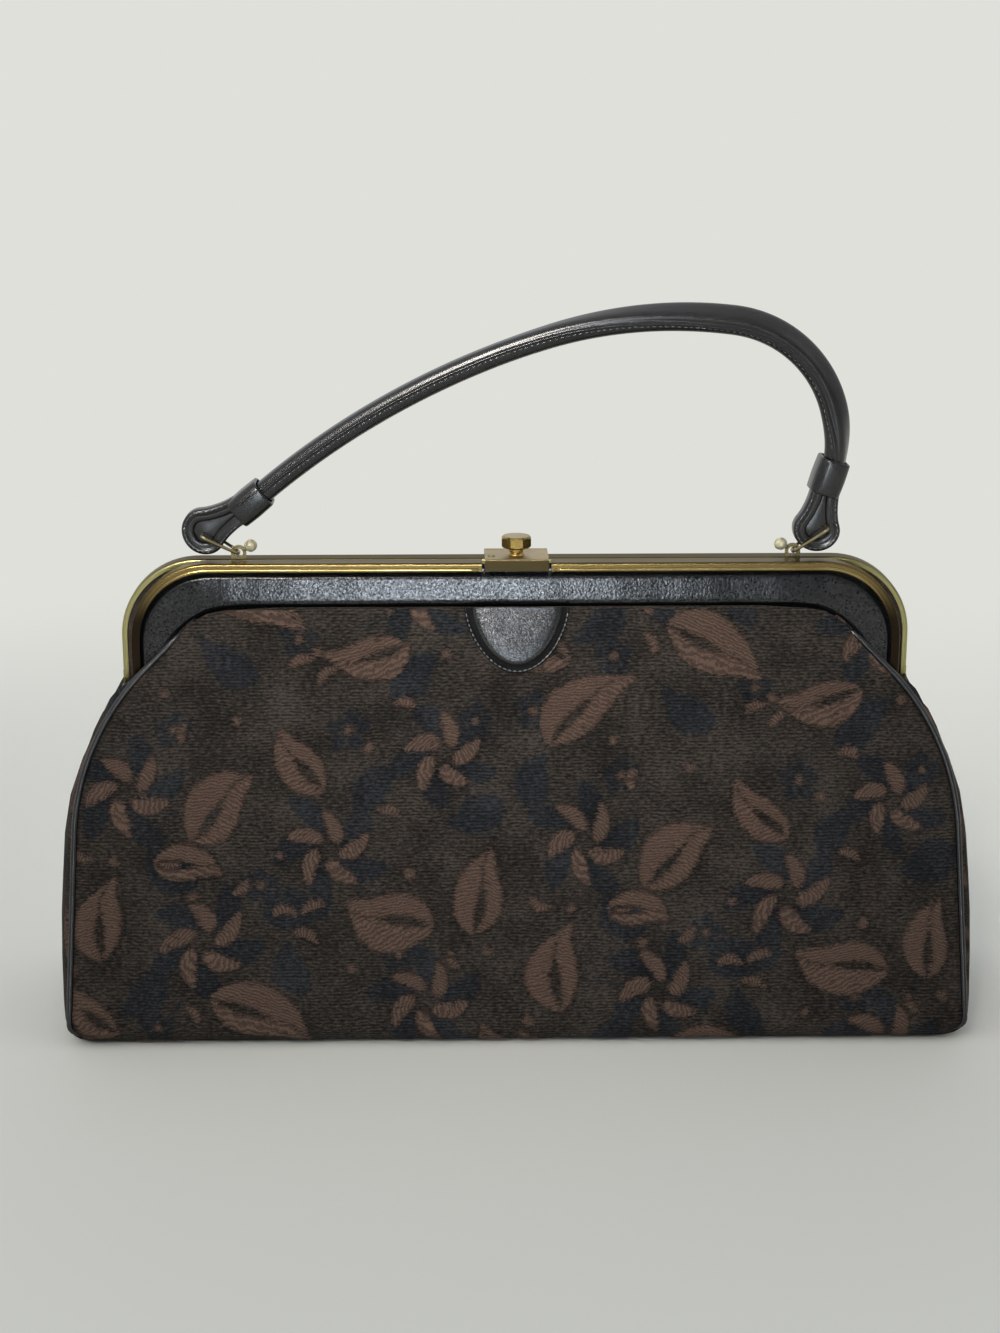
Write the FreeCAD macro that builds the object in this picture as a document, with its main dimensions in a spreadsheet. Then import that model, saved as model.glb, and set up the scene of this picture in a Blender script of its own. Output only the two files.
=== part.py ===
import FreeCAD, Part
import math
import os

import Sketcher
from FreeCAD import Vector

# Frame handbag: a stiffened brocade pouch on a two-part brass frame, with a flip clasp
# on top and a stiff leather handle on the rear half. Millimetres, +Z up, +Y to the back,
# origin on the ground under the middle of the bag.

doc = FreeCAD.newDocument("FramePurse")

# Driving sizes, in millimetres and degrees
dimensions = {
    # pouch
    "body_width": 330.0,
    "base_depth": 98.0,
    "mouth_depth": 19.2,
    "panel_drop": 15.3,
    "panel_thick": 2.0,
    "base_round": 8.0,
    "side_lean": 2.5,
    "side_height": 70.0,
    "shoulder_round": 85.0,
    "shoulder_in": 51.5,
    "top_round": 17.0,
    "piping_dia": 3.0,
    "piping_end": 5.0,
    "seam_gap": 0.3,
    "gusset_thick": 2.0,
    "gusset_step": 0.6,
    "gusset_bulge": 6.5,
    "gusset_drop": 8.0,
    "layer_gap": 0.2,
    "board_thick": 1.5,
    "board_round": 5.0,
    "base_board_thick": 2.0,
    "side_room": 6.0,
    "stiffener_drop": 4.0,
    "lining_thick": 1.0,
    "lining_drop": 12.0,
    # frame
    "hinge_height": 122.0,
    "frame_rise": 50.8,
    "frame_inset": 19.0,
    "front_inset": 4.5,
    "frame_round": 29.0,
    "frame_depth": 7.8,
    "frame_split": 0.8,
    "sheet_thick": 1.0,
    "flange_height": 2.2,
    "inner_flange": 1.0,
    "bead_round": 0.9,
    "leg_rise": 5.0,
    "ear_radius": 4.2,
    "ear_overlap": 4.0,
    "ear_toe": 1.0,
    "rivet_dia": 2.3,
    "rivet_head_dia": 5.0,
    "rivet_head": 1.0,
    "running_gap": 0.05,
    "side_gap": 0.15,
    "washer_dia": 6.0,
    "cover_thick": 1.4,
    "facing_thick": 1.0,
    "leaf_gap": 0.1,
    "leaf_leg": 12.0,
    "leaf_slant": 17.0,
    "leaf_round": 6.0,
    "cover_drop": 20.0,
    "facing_drop": 13.0,
    "tab_width": 37.5,
    "tab_foot": 24.8,
    "tab_height": 23.0,
    "tab_round": 15.2,
    "tab_thick": 1.4,
    "tab_gap": 0.15,
    # clasp
    "plate_width": 23.4,
    "plate_thick": 1.2,
    "plate_lift": 0.3,
    "lip_drop": 4.4,
    "lip_proud": 0.4,
    "lip_bend": 0.8,
    "notch_gap": 1.0,
    "notch_clear": 0.6,
    "notch_past": 10.0,
    "tongue_height": 3.4,
    "tongue_side": 6.0,
    "clasp_pin_dia": 1.6,
    "knuckle_dia": 3.4,
    "knuckle_width": 7.4,
    "knuckle_gap": 0.3,
    "hinge_foot": 1.0,
    "hinge_foot_gap": 0.4,
    "clasp_rivet_dia": 1.8,
    "clasp_rivet_head": 0.3,
    "clasp_rivet_side": 2.5,
    "clasp_rivet_setback": 6.0,
    "knob_dia": 11.6,
    "knob_height": 4.4,
    "knob_stem_dia": 5.2,
    "knob_stem": 2.7,
    "knob_bevel": 0.9,
    "keeper_width": 18.0,
    "keeper_height": 2.0,
    "keeper_reach": 2.8,
    "keeper_lift": 0.6,
    "spring_width": 21.0,
    "spring_thick": 0.5,
    "spring_gap": 0.7,
    "spring_nose": 0.5,
    # handle
    "lug_inset": 44.0,
    "lug_y": 1.6,
    "lug_height": 2.2,
    "eye_dia": 5.6,
    "eye_bore": 3.2,
    "eye_thick": 1.0,
    "ball_dia": 3.2,
    "ball_angle": 60.0,
    "wire_dia": 1.2,
    "strap_width": 12.0,
    "strap_thick": 8.0,
    "strap_round": 3.2,
    "strap_wall": 1.4,
    "core_gap": 0.1,
    "strap_start_in": 10.9,
    "strap_start_rise": 25.8,
    "strap_start_angle": 39.5,
    "strap_end_out": 16.5,
    "strap_tuck": 5.0,
    "crown_end_angle": 17.0,
    "apex_radius": 160.0,
    "apex_end_angle": -7.0,
    "strap_end_rise": 37.336,
    "drop_end_angle": -95.0,
    "sleeve_length": 13.0,
    "sleeve_wall": 1.2,
    "sleeve_gap": 0.2,
    "sleeve_step": 1.0,
    "loop_width": 6.4,
    "loop_band": 3.6,
    "loop_radius": 7.2,
    "loop_neck": 13.3,
    "loop_tail": 5.4,
    "loop_tuck": 1.5,
    "loop_turn": 7.0,
    "ring_width": 14.0,
    "ring_eye_width": 4.4,
    "ring_bend": 1.5,
    "ring_seat_left": 1.5,
    "ring_seat_right": -1.0,
}

sheet = doc.addObject("Spreadsheet::Sheet", "Sizes")
for row, (alias, number) in enumerate(dimensions.items(), start=1):
    sheet.set("A%d" % row, alias)
    sheet.set("B%d" % row, str(number))
    sheet.setAlias("B%d" % row, alias)
doc.recompute()


# A size keeps its number together with the sheet expression that it comes from
class Size:
    def __init__(self, number, text):
        self.number = number
        self.text = text

    def join(self, other, sign, number):
        return Size(number, "(%s %s %s)" % (self.text, sign, as_size(other).text))

    def __add__(self, other):
        return self.join(other, "+", self.number + as_size(other).number)

    def __sub__(self, other):
        return self.join(other, "-", self.number - as_size(other).number)

    def __mul__(self, other):
        return self.join(other, "*", self.number * as_size(other).number)

    def __truediv__(self, other):
        return self.join(other, "/", self.number / as_size(other).number)

    def __neg__(self):
        return self * -1

    def __radd__(self, other):
        return as_size(other) + self

    def __rsub__(self, other):
        return as_size(other) - self

    def __rmul__(self, other):
        return as_size(other) * self


def as_size(value):
    if isinstance(value, Size):
        return value
    return Size(float(value), "(%r)" % float(value))


def size(alias):
    return Size(float(sheet.get(alias)), "Sizes." + alias)


def root(value):
    return Size(math.sqrt(value.number), "sqrt(%s)" % value.text)


def sine(angle):
    return Size(math.sin(math.radians(angle.number)), "sin(%s * 1 deg)" % angle.text)


def cosine(angle):
    return Size(math.cos(math.radians(angle.number)), "cos(%s * 1 deg)" % angle.text)


def slope_angle(rise, run):
    number = math.degrees(math.atan2(rise.number, run.number))
    return Size(number, "atan(%s / %s) / 1 deg" % (rise.text, run.text))


def bind(feature, **links):
    for name, value in links.items():
        feature.setExpression(name.replace("__", "."), as_size(value).text)
    return feature


# Bodies, sketches and features
nodes = []


def new_body(name):
    body = doc.addObject("PartDesign::Body", name)
    body.Label = name
    nodes.append(body)
    return body


def origin_plane(body, role):
    return next(item for item in body.Origin.OriginFeatures if item.Role == role)


def new_sketch(body, name, role, offset=0):
    sketch = body.newObject("Sketcher::SketchObject", name)
    sketch.AttachmentSupport = [(origin_plane(body, role), "")]
    sketch.MapMode = "FlatFace"
    bind(sketch, AttachmentOffset__Base__z=offset)
    return sketch


def pin_point(sketch, geometry, end, x, y):
    for kind, axis, value in (("DistanceX", -2, as_size(x)), ("DistanceY", -1, as_size(y))):
        if abs(value.number) < 1e-9:
            sketch.addConstraint(Sketcher.Constraint("PointOnObject", geometry, end, axis))
            continue
        index = sketch.addConstraint(Sketcher.Constraint(kind, -1, 1, geometry, end, value.number))
        sketch.setExpression("Constraints[%d]" % index, value.text)


# An outline of straight runs: each corner is (x, y) or (x, y, radius)
def draw_outline(sketch, corners, closed=True):
    count = len(corners)
    points = [Vector(as_size(c[0]).number, as_size(c[1]).number, 0) for c in corners]
    arcs = {}
    ends = {i: (points[i], points[i]) for i in range(count)}
    for i, corner in enumerate(corners):
        if len(corner) < 3:
            continue
        radius = as_size(corner[2])
        back = (points[i - 1] - points[i]).normalize()
        ahead = (points[(i + 1) % count] - points[i]).normalize()
        half = back.getAngle(ahead) / 2
        reach = radius.number / math.tan(half)
        centre = points[i] + (back + ahead).normalize() * (radius.number / math.sin(half))
        ends[i] = (points[i] + back * reach, points[i] + ahead * reach)
        arcs[i] = (centre, radius)
    lines = []
    for i in range(count if closed else count - 1):
        run = Part.LineSegment(ends[i][1], ends[(i + 1) % count][0])
        lines.append(sketch.addGeometry(run, False))
    for i, corner in enumerate(corners):
        before = lines[i - 1] if (closed or i > 0) else None
        after = lines[i] if (closed or i < count - 1) else None
        if i not in arcs:
            if before is not None and after is not None:
                sketch.addConstraint(Sketcher.Constraint("Coincident", before, 2, after, 1))
            pin_point(sketch, *((after, 1) if after is not None else (before, 2)), *corner[:2])
            continue
        centre, radius = arcs[i]
        first = math.atan2(ends[i][0].y - centre.y, ends[i][0].x - centre.x)
        last = math.atan2(ends[i][1].y - centre.y, ends[i][1].x - centre.x)
        turns_left = math.sin(last - first) > 0
        circle = Part.Circle(centre, Vector(0, 0, 1), radius.number)
        span = (first, last) if turns_left else (last, first)
        arc = sketch.addGeometry(Part.ArcOfCircle(circle, *span), False)
        start, stop = (1, 2) if turns_left else (2, 1)
        mark = sketch.addGeometry(Part.Point(points[i]), True)
        pin_point(sketch, mark, 1, *corner[:2])
        sketch.addConstraint(Sketcher.Constraint("PointOnObject", mark, 1, before))
        sketch.addConstraint(Sketcher.Constraint("PointOnObject", mark, 1, after))
        sketch.addConstraint(Sketcher.Constraint("Tangent", before, 2, arc, start))
        sketch.addConstraint(Sketcher.Constraint("Tangent", after, 1, arc, stop))
        index = sketch.addConstraint(Sketcher.Constraint("Radius", arc, radius.number))
        sketch.setExpression("Constraints[%d]" % index, radius.text)


def draw_circle(sketch, x, y, radius):
    centre = Vector(as_size(x).number, as_size(y).number, 0)
    ring = sketch.addGeometry(Part.Circle(centre, Vector(0, 0, 1), as_size(radius).number), False)
    pin_point(sketch, ring, 3, x, y)
    index = sketch.addConstraint(Sketcher.Constraint("Radius", ring, as_size(radius).number))
    sketch.setExpression("Constraints[%d]" % index, as_size(radius).text)


def rectangle(half_width, low, high, *radius):
    return [(half_width, low, *radius), (half_width, high, *radius),
            (-half_width, high, *radius), (-half_width, low, *radius)]


def pad(body, name, role, corners, length, offset=0, middle=False):
    profile = new_sketch(body, name + "Sketch", role, offset)
    draw_outline(profile, corners)
    feature = body.newObject("PartDesign::Pad", name)
    feature.Profile = profile
    feature.SideType = "Symmetric" if middle else "One side"
    bind(feature, Length=length)
    return feature


def pad_disc(body, name, role, x, y, radius, length, offset=0):
    profile = new_sketch(body, name + "Sketch", role, offset)
    draw_circle(profile, x, y, radius)
    feature = body.newObject("PartDesign::Pad", name)
    feature.Profile = profile
    bind(feature, Length=length)
    return feature


def cut_through(body, name, role, draw):
    profile = new_sketch(body, name + "Sketch", role)
    draw(profile)
    feature = body.newObject("PartDesign::Pocket", name)
    feature.Profile = profile
    feature.SideType = "Symmetric"
    feature.Type = "ThroughAll"
    return feature


def sweep(body, name, profile, path):
    feature = body.newObject("PartDesign::AdditivePipe", name)
    feature.Profile = profile
    feature.Spine = (path, [])
    return feature


def mirror_x(body, name, *features):
    feature = body.newObject("PartDesign::Mirrored", name)
    feature.Originals = list(features)
    feature.MirrorPlane = (origin_plane(body, "YZ_Plane"), [""])
    body.Tip = feature
    return feature


def loft(body, name, sections, kind="PartDesign::AdditiveLoft"):
    feature = body.newObject(kind, name)
    feature.Profile = sections[0]
    feature.Sections = sections[1:]
    return feature


# Shared places of the pouch; the hinge height drives every height above it
hinge_z = size("hinge_height")
frame_top = hinge_z + size("frame_rise")
half_width = size("body_width") / 2
half_base = size("base_depth") / 2
panel_top = frame_top - size("panel_drop")
shoulder_break = half_width - size("shoulder_in")
panel_thick = size("panel_thick")
base_round = size("base_round")
piping_radius = size("piping_dia") / 2
layer_gap = size("layer_gap")
lean = (half_base - size("mouth_depth") / 2) / panel_top
slope = slope_angle(half_base - size("mouth_depth") / 2, panel_top)
side_slope = size("side_lean") / size("side_height")
shoulder_round = size("shoulder_round")
diagonal = math.sqrt(2)
seam_inset = piping_radius + size("seam_gap")


# Outer half-depth of the pouch at a height
def panel_depth(height):
    return half_base - lean * height


# Front outline: leaning sides, a large shoulder arc, a 45 degree run and the straight top
def shoulder_corner(inset):
    height = (shoulder_break - inset * diagonal + panel_top - half_width + inset) / (1 - side_slope)
    return half_width - inset - side_slope * height, height


def panel_outline(inset):
    x, height = shoulder_corner(inset)
    top_x = shoulder_break - inset * diagonal
    right = [(half_width - inset, 0, base_round), (x, height, shoulder_round - inset),
             (top_x, panel_top, size("top_round"))]
    left = [(-corner[0], *corner[1:]) for corner in reversed(right)]
    return right + left


# Half-width of that outline on the straight side and on the shoulder arc
def side_x(height):
    return half_width - side_slope * height


def shoulder_x(height):
    steep = root(side_slope * side_slope + 1)
    drawn_in = shoulder_round * (diagonal - steep)
    centre_z = (shoulder_break + panel_top - half_width - drawn_in) / (1 - side_slope)
    centre_x = half_width - side_slope * centre_z - shoulder_round * steep
    rise = height - centre_z
    return centre_x + root(shoulder_round * shoulder_round - rise * rise)


# How far a rounded bottom corner draws in at a height below its radius
def drawn_corner(height):
    drop = base_round - height
    return base_round - root(base_round * base_round - drop * drop)


# Brocade wrap: a bent strip seen from the side, kept inside the front outline
strip_top = panel_top + base_round
strip = doc.addObject("PartDesign::Body", "WrapStrip")
fold_y = half_base - lean * panel_thick - panel_thick
front_run = [(-panel_depth(strip_top), strip_top), (-half_base, 0, base_round)]
inner_run = [(-fold_y, panel_thick, base_round - panel_thick),
             (panel_thick - panel_depth(strip_top), strip_top)]
outer = front_run + [(-corner[0], *corner[1:]) for corner in reversed(front_run)]
inner = [(-corner[0], *corner[1:]) for corner in reversed(inner_run)] + inner_run
pad(strip, "StripPad", "YZ_Plane", outer + inner, size("body_width"), middle=True)
block = doc.addObject("PartDesign::Body", "WrapBlock")
pad(block, "BlockPad", "XZ_Plane", panel_outline(seam_inset), size("base_depth") * 1.2, middle=True)
wrap = doc.addObject("Part::Common", "body_wrap")
wrap.Base = strip
wrap.Tool = block
wrap.Label = "body_wrap"
nodes.append(wrap)


# Gussets: ruled lofts through crescents that swell outwards between the two seams
def draw_crescent(sketch, side, edge, depth, bulge, thick):
    radius = (depth * depth + bulge * bulge) / (bulge * 2)
    arcs = []
    for x in (edge, edge - thick):
        ends = [Vector(side * x.number, depth.number * way, 0) for way in (-1, 1)]
        middle = Vector(side * (x + bulge).number, 0, 0)
        arc = sketch.addGeometry(Part.Arc(ends[0], middle, ends[1]), False)
        low, high = (1, 2) if side > 0 else (2, 1)
        pin_point(sketch, arc, low, side * x, -depth)
        pin_point(sketch, arc, high, side * x, depth)
        index = sketch.addConstraint(Sketcher.Constraint("Radius", arc, radius.number))
        sketch.setExpression("Constraints[%d]" % index, radius.text)
        arcs.append((arc, ends, low, high))
    for way in (0, 1):
        line = sketch.addGeometry(Part.LineSegment(arcs[0][1][way], arcs[1][1][way]), False)
        end = 2 + way
        sketch.addConstraint(Sketcher.Constraint("Coincident", line, 1, arcs[0][0], arcs[0][end]))
        sketch.addConstraint(Sketcher.Constraint("Coincident", line, 2, arcs[1][0], arcs[1][end]))


gusset_edge = size("gusset_thick") + size("gusset_step") - seam_inset
gusset_reach = panel_thick + size("seam_gap")
gusset_top = hinge_z - size("gusset_drop")

# Share of the height and of the full swell at each level, from the ground up
corner_levels = ((0.08, 0.12), (0.35, 0.3), (1.0, 0.5))
side_levels = ((0.35, 1.0), (0.65, 0.85))
shoulder_levels = ((0.84, 0.6), (1.0, 0.25))
levels = []
for share, swell in corner_levels:
    height = base_round * share
    drawn = drawn_corner(height)
    levels.append((height, side_x(height) - drawn, panel_depth(height) - drawn, swell))
for share, swell in side_levels:
    height = gusset_top * share
    levels.append((height, side_x(height), panel_depth(height), swell))
for share, swell in shoulder_levels:
    height = gusset_top * share
    levels.append((height, shoulder_x(height), panel_depth(height), swell))
for name, side in (("gusset_left", -1), ("gusset_right", 1)):
    gusset = new_body(name)
    sections = []
    for number, (height, edge, depth, swell) in enumerate(levels):
        section = new_sketch(gusset, "%s_level%d" % (name, number), "XY_Plane", height)
        draw_crescent(section, side, edge + gusset_edge, depth - gusset_reach,
                      size("gusset_bulge") * swell, size("gusset_thick"))
        sections.append(section)
    loft(gusset, name + "_loft", sections).Ruled = True


# A frame that leans with the front (way -1) or back (way 1) panel: local Z runs up the panel
def lean_with_panel(body, way):
    body.Placement = FreeCAD.Placement(Vector(0, 0, 0), FreeCAD.Rotation(Vector(1, 0, 0), 0))
    bind(body, Placement__Base__y=half_base * way)
    bind(body, Placement__Rotation__Angle=slope * way)


# Pipings in the four seams: round cord up the side, over the shoulder and to the top corner
stretch = root(lean * lean + 1)
piping_end = size("piping_end")
for face, way in (("front", -1), ("back", 1)):
    for hand, side in (("left", -1), ("right", 1)):
        piping = new_body("piping_%s_%s" % (face, hand))
        lean_with_panel(piping, way)
        start_x = side_x(base_round)
        start_v = base_round * stretch
        corner_x, corner_z = shoulder_corner(0)
        run = [(side * start_x, start_v),
               (side * corner_x, corner_z * stretch, shoulder_round),
               (side * (shoulder_break + piping_end), (panel_top - piping_end) * stretch)]
        path = new_sketch(piping, "path", "XZ_Plane")
        draw_outline(path, run, closed=False)
        section = new_sketch(piping, "section", "XY_Plane", start_v)
        draw_circle(section, side * start_x, 0, piping_radius)
        sweep(piping, "cord", section, path)

# Base board, panel stiffeners and lining inside the wrap
board_thick = size("board_thick")
base_board = new_body("base_board")
board_round = size("board_round")
board_inset = base_round * 1.2
board_half_x = half_width - board_inset
board_half_y = half_base - board_inset
pad(base_board, "Board", "XY_Plane", rectangle(board_half_x, -board_half_y, board_half_y, board_round),
    size("base_board_thick"), offset=panel_thick + layer_gap)

side_room = size("side_room")
stiff_low = base_round * 1.2
lining_top = hinge_z - size("lining_drop")
stiff_top = lining_top - size("stiffener_drop")
for face, way in (("front", -1), ("back", 1)):
    stiffener = new_body(face + "_stiffener")
    lean_with_panel(stiffener, way)
    low_x = side_x(stiff_low) - side_room
    top_x = shoulder_x(stiff_top) - side_room
    low = stiff_low * stretch
    top = stiff_top * stretch
    shape = [(low_x, low, board_round), (top_x, top, board_round),
             (-top_x, top, board_round), (-low_x, low, board_round)]
    outer_y = panel_thick + layer_gap
    plane_y = outer_y + board_thick if way < 0 else -outer_y
    pad(stiffener, "Board", "XZ_Plane", shape, board_thick, offset=-plane_y)

lining = new_body("lining")
lining_stack = (panel_thick + layer_gap * 2 + board_thick) * stretch
lining_foot = base_round / 4
lining_low = panel_thick + layer_gap * 2 + size("base_board_thick")


def lining_section(name, height, x, y, inset):
    section = new_sketch(lining, name, "XY_Plane", height)
    draw_outline(section, rectangle(x - inset, inset - y, y - inset))
    return section


lining_thick = size("lining_thick")
low_x = side_x(lining_low) - base_round / 2 - side_room
low_y = panel_depth(lining_low) - lining_stack - lining_foot
top_x = shoulder_x(lining_top) - side_room
top_y = panel_depth(lining_top) - lining_stack
loft(lining, "Outside", [lining_section("OuterLow", lining_low, low_x, low_y, 0),
                         lining_section("OuterTop", lining_top, top_x, top_y, 0)])
loft(lining, "Inside", [lining_section("InnerLow", lining_low + lining_thick, low_x, low_y, lining_thick),
                        lining_section("InnerTop", lining_top, top_x, top_y, lining_thick)],
     "PartDesign::SubtractiveLoft")

# Shared places of the frame; way -1 is the front half, 1 the rear half
sheet_thick = size("sheet_thick")
flange = size("flange_height") + sheet_thick
rear_half = half_width - size("frame_inset")
front_half = rear_half - size("front_inset")
split = size("frame_split") / 2
frame_back = split + size("frame_depth")
leg_end = hinge_z + size("leg_rise")
ear_radius = size("ear_radius")
rivet_radius = size("rivet_dia") / 2
running_gap = size("running_gap")
leaf_gap = size("leaf_gap")

plate_top = frame_top + size("plate_lift") + size("plate_thick")
plate_under = frame_top + size("plate_lift")
lip_low = plate_top - size("lip_drop")
notch_half = size("plate_width") / 2 + size("notch_gap")
notch_floor = lip_low - size("notch_clear")
above_frame = frame_top + size("notch_past")


def frame_channel(name, half, way):
    body = new_body(name)
    section = new_sketch(body, "Section", "XY_Plane", leg_end)
    outer_lip = half - flange
    inner_lip = half - sheet_thick - size("inner_flange")
    near = split * way
    far = frame_back * way
    draw_outline(section, [
        (half, near, size("bead_round")), (half, far, size("bead_round")), (outer_lip, far),
        (outer_lip, far - sheet_thick * way), (half - sheet_thick, far - sheet_thick * way),
        (half - sheet_thick, near + sheet_thick * way), (inner_lip, near + sheet_thick * way),
        (inner_lip, near)])
    path = new_sketch(body, "Path", "XZ_Plane")
    arch = size("frame_round")
    draw_outline(path, [(half, leg_end), (half, frame_top, arch), (-half, frame_top, arch),
                        (-half, leg_end)], closed=False)
    sweep(body, "Channel", section, path)
    ear_bend = ear_radius * 0.9
    ear_top = leg_end + size("ear_overlap")
    ear_toe = size("ear_toe")
    ear = pad(body, "Ear", "YZ_Plane", [
        (far, ear_top), (far, leg_end - ear_toe, ear_toe * 2),
        (ear_radius * way, hinge_z - ear_radius, ear_bend),
        (ear_radius * -way, hinge_z - ear_radius, ear_bend),
        (ear_radius * -way, hinge_z + ear_radius, ear_bend), (near, leg_end + ear_toe), (near, ear_top)],
        sheet_thick, offset=half - sheet_thick)
    mirror_x(body, "EarPair", ear)
    return body


def hinge_bore(body):
    cut_through(body, "HingeBore", "YZ_Plane",
                lambda profile: draw_circle(profile, 0, hinge_z, rivet_radius + running_gap))


# Leather leaves held in a channel: the outer cover and the facing on the mating side
def frame_leaf(name, half, back_y, thick, drop):
    body = new_body(name)
    x = half - sheet_thick - leaf_gap
    top = frame_top - sheet_thick - leaf_gap
    low = leg_end + size("ear_toe")
    arch = size("frame_round") - sheet_thick - leaf_gap
    leg_x = x - size("leaf_leg")
    band = frame_top - drop
    slant = size("leaf_slant")
    bend = size("leaf_round")
    right = [(x, low), (x, top, arch)]
    inside = [(leg_x, low), (leg_x, band - slant, bend), (leg_x - slant, band, bend)]
    outline = right + [(-c[0], *c[1:]) for c in reversed(right)]
    outline += [(-c[0], *c[1:]) for c in inside] + list(reversed(inside))
    pad(body, "Leaf", "XZ_Plane", outline, thick, offset=-back_y)
    return body


def clasp_notch(body, floor):
    cut_through(body, "ClaspNotch", "XZ_Plane",
                lambda profile: draw_outline(profile, rectangle(notch_half, floor, above_frame)))


# Front half: channel with a notch for the clasp and a tongue that bridges the notch
tongue_low = notch_floor - size("tongue_height")
front_channel = frame_channel("front_channel", front_half, -1)
pad(front_channel, "Tongue", "XZ_Plane",
    rectangle(notch_half + size("tongue_side"), tongue_low, frame_top - sheet_thick), sheet_thick,
    offset=split)
clasp_notch(front_channel, notch_floor)
hinge_bore(front_channel)

rear_channel = frame_channel("rear_channel", rear_half, 1)
hinge_bore(rear_channel)

cover_face = frame_back - sheet_thick - leaf_gap
facing_face = split + sheet_thick + leaf_gap
cover_thick = size("cover_thick")
facing_thick = size("facing_thick")
front_cover = frame_leaf("front_cover", front_half, cover_thick - cover_face, cover_thick, size("cover_drop"))
clasp_notch(front_cover, notch_floor)
keeper_low = tongue_low + size("keeper_lift")
front_facing = frame_leaf("front_facing", front_half, -facing_face, facing_thick, size("facing_drop"))
clasp_notch(front_facing, keeper_low - size("keeper_lift") / 2)
frame_leaf("rear_cover", rear_half, cover_face, cover_thick, size("cover_drop"))
frame_leaf("rear_facing", rear_half, facing_face + facing_thick, facing_thick, size("facing_drop"))

# Half-round tab sewn on the front panel under the clasp
front_tab = new_body("front_tab")
lean_with_panel(front_tab, -1)
tab_top = panel_top * stretch
tab_low = (panel_top - size("tab_height")) * stretch
pad(front_tab, "Tab", "XZ_Plane", [
    (size("tab_width") / 2, tab_top), (size("tab_width") / -2, tab_top),
    (size("tab_foot") / -2, tab_low, size("tab_round")), (size("tab_foot") / 2, tab_low, size("tab_round"))],
    size("tab_thick"), offset=size("tab_gap"))


# Hinge hardware: a disc along X between two distances from the middle plane
def side_disc(body, name, side, near, far, *radii):
    profile = new_sketch(body, name + "Sketch", "YZ_Plane", near if side > 0 else -far)
    for radius in radii:
        draw_circle(profile, 0, hinge_z, radius)
    feature = body.newObject("PartDesign::Pad", name)
    feature.Profile = profile
    bind(feature, Length=far - near)


ear_inside = front_half - sheet_thick - size("side_gap")
rivet_head = size("rivet_head")
for hand, side in (("left", -1), ("right", 1)):
    rivet = new_body("hinge_rivet_" + hand)
    side_disc(rivet, "Shank", side, ear_inside, rear_half, rivet_radius)
    side_disc(rivet, "OuterHead", side, rear_half, rear_half + rivet_head, size("rivet_head_dia") / 2)
    side_disc(rivet, "InnerHead", side, ear_inside - rivet_head, ear_inside, size("rivet_head_dia") / 2)
    washer = new_body("hinge_washer_" + hand)
    side_disc(washer, "Ring", side, front_half + size("side_gap"), rear_half - sheet_thick,
              size("washer_dia") / 2, rivet_radius + running_gap)

# Clasp: plate with a turned-down lip, hinged on a pin behind the rear half
pin_radius = size("clasp_pin_dia") / 2
knuckle_radius = size("knuckle_dia") / 2
knuckle_gap = size("knuckle_gap")
knuckle_half = size("knuckle_width") / 2
pin_y = frame_back + knuckle_radius + knuckle_gap
pin_z = plate_top - knuckle_radius
plate_back = pin_y - knuckle_radius - knuckle_gap
lip_y = -frame_back - size("lip_proud")
plate_thick = size("plate_thick")
plate_half = size("plate_width") / 2
rivet_x = size("clasp_rivet_side") - plate_half
rivet_y = lip_y + size("clasp_rivet_setback")
clasp_rivet_radius = size("clasp_rivet_dia") / 2


def pin_bore(body):
    cut_through(body, "PinBore", "YZ_Plane",
                lambda profile: draw_circle(profile, pin_y, pin_z, pin_radius + running_gap))


def rivet_hole(body):
    cut_through(body, "RivetHole", "XY_Plane",
                lambda profile: draw_circle(profile, rivet_x, rivet_y, clasp_rivet_radius))


clasp_plate = new_body("clasp_plate")
pad(clasp_plate, "Plate", "YZ_Plane", [
    (plate_back, plate_top), (lip_y, plate_top, size("lip_bend")), (lip_y, lip_low),
    (lip_y + plate_thick, lip_low),
    (lip_y + plate_thick, plate_under), (plate_back, plate_under)], size("plate_width"), middle=True)
pad(clasp_plate, "Tongue", "YZ_Plane", [
    (pin_y, plate_top), (plate_back - plate_thick, plate_top), (plate_back - plate_thick, plate_under),
    (pin_y, plate_under)], size("knuckle_width"), middle=True)
barrel = new_sketch(clasp_plate, "BarrelSketch", "YZ_Plane")
draw_circle(barrel, pin_y, pin_z, knuckle_radius)
knuckle = clasp_plate.newObject("PartDesign::Pad", "Barrel")
knuckle.Profile = barrel
knuckle.SideType = "Symmetric"
bind(knuckle, Length=size("knuckle_width"))
pin_bore(clasp_plate)
rivet_hole(clasp_plate)

hinge_base = new_body("clasp_hinge_base")
flange_low = frame_top - flange
foot_back = frame_back + size("hinge_foot")
foot_top = pin_z - knuckle_radius - size("hinge_foot_gap")
pad(hinge_base, "Foot", "YZ_Plane", [
    (frame_back, flange_low), (foot_back, flange_low), (foot_back, foot_top), (frame_back, foot_top)],
    size("plate_width"), middle=True)
cheek_start = knuckle_half + knuckle_gap
cheek = pad(hinge_base, "Cheek", "YZ_Plane", [
    (frame_back, flange_low), (foot_back, flange_low), (pin_y + knuckle_radius, pin_z, size("hinge_foot")),
    (pin_y, pin_z + knuckle_radius * 0.5), (frame_back, pin_z)], plate_half - cheek_start, offset=cheek_start)
eye = pad_disc(hinge_base, "Eye", "YZ_Plane", pin_y, pin_z, knuckle_radius, plate_half - cheek_start,
               offset=cheek_start)
mirror_x(hinge_base, "CheekPair", cheek, eye)
pin_bore(hinge_base)

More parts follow.
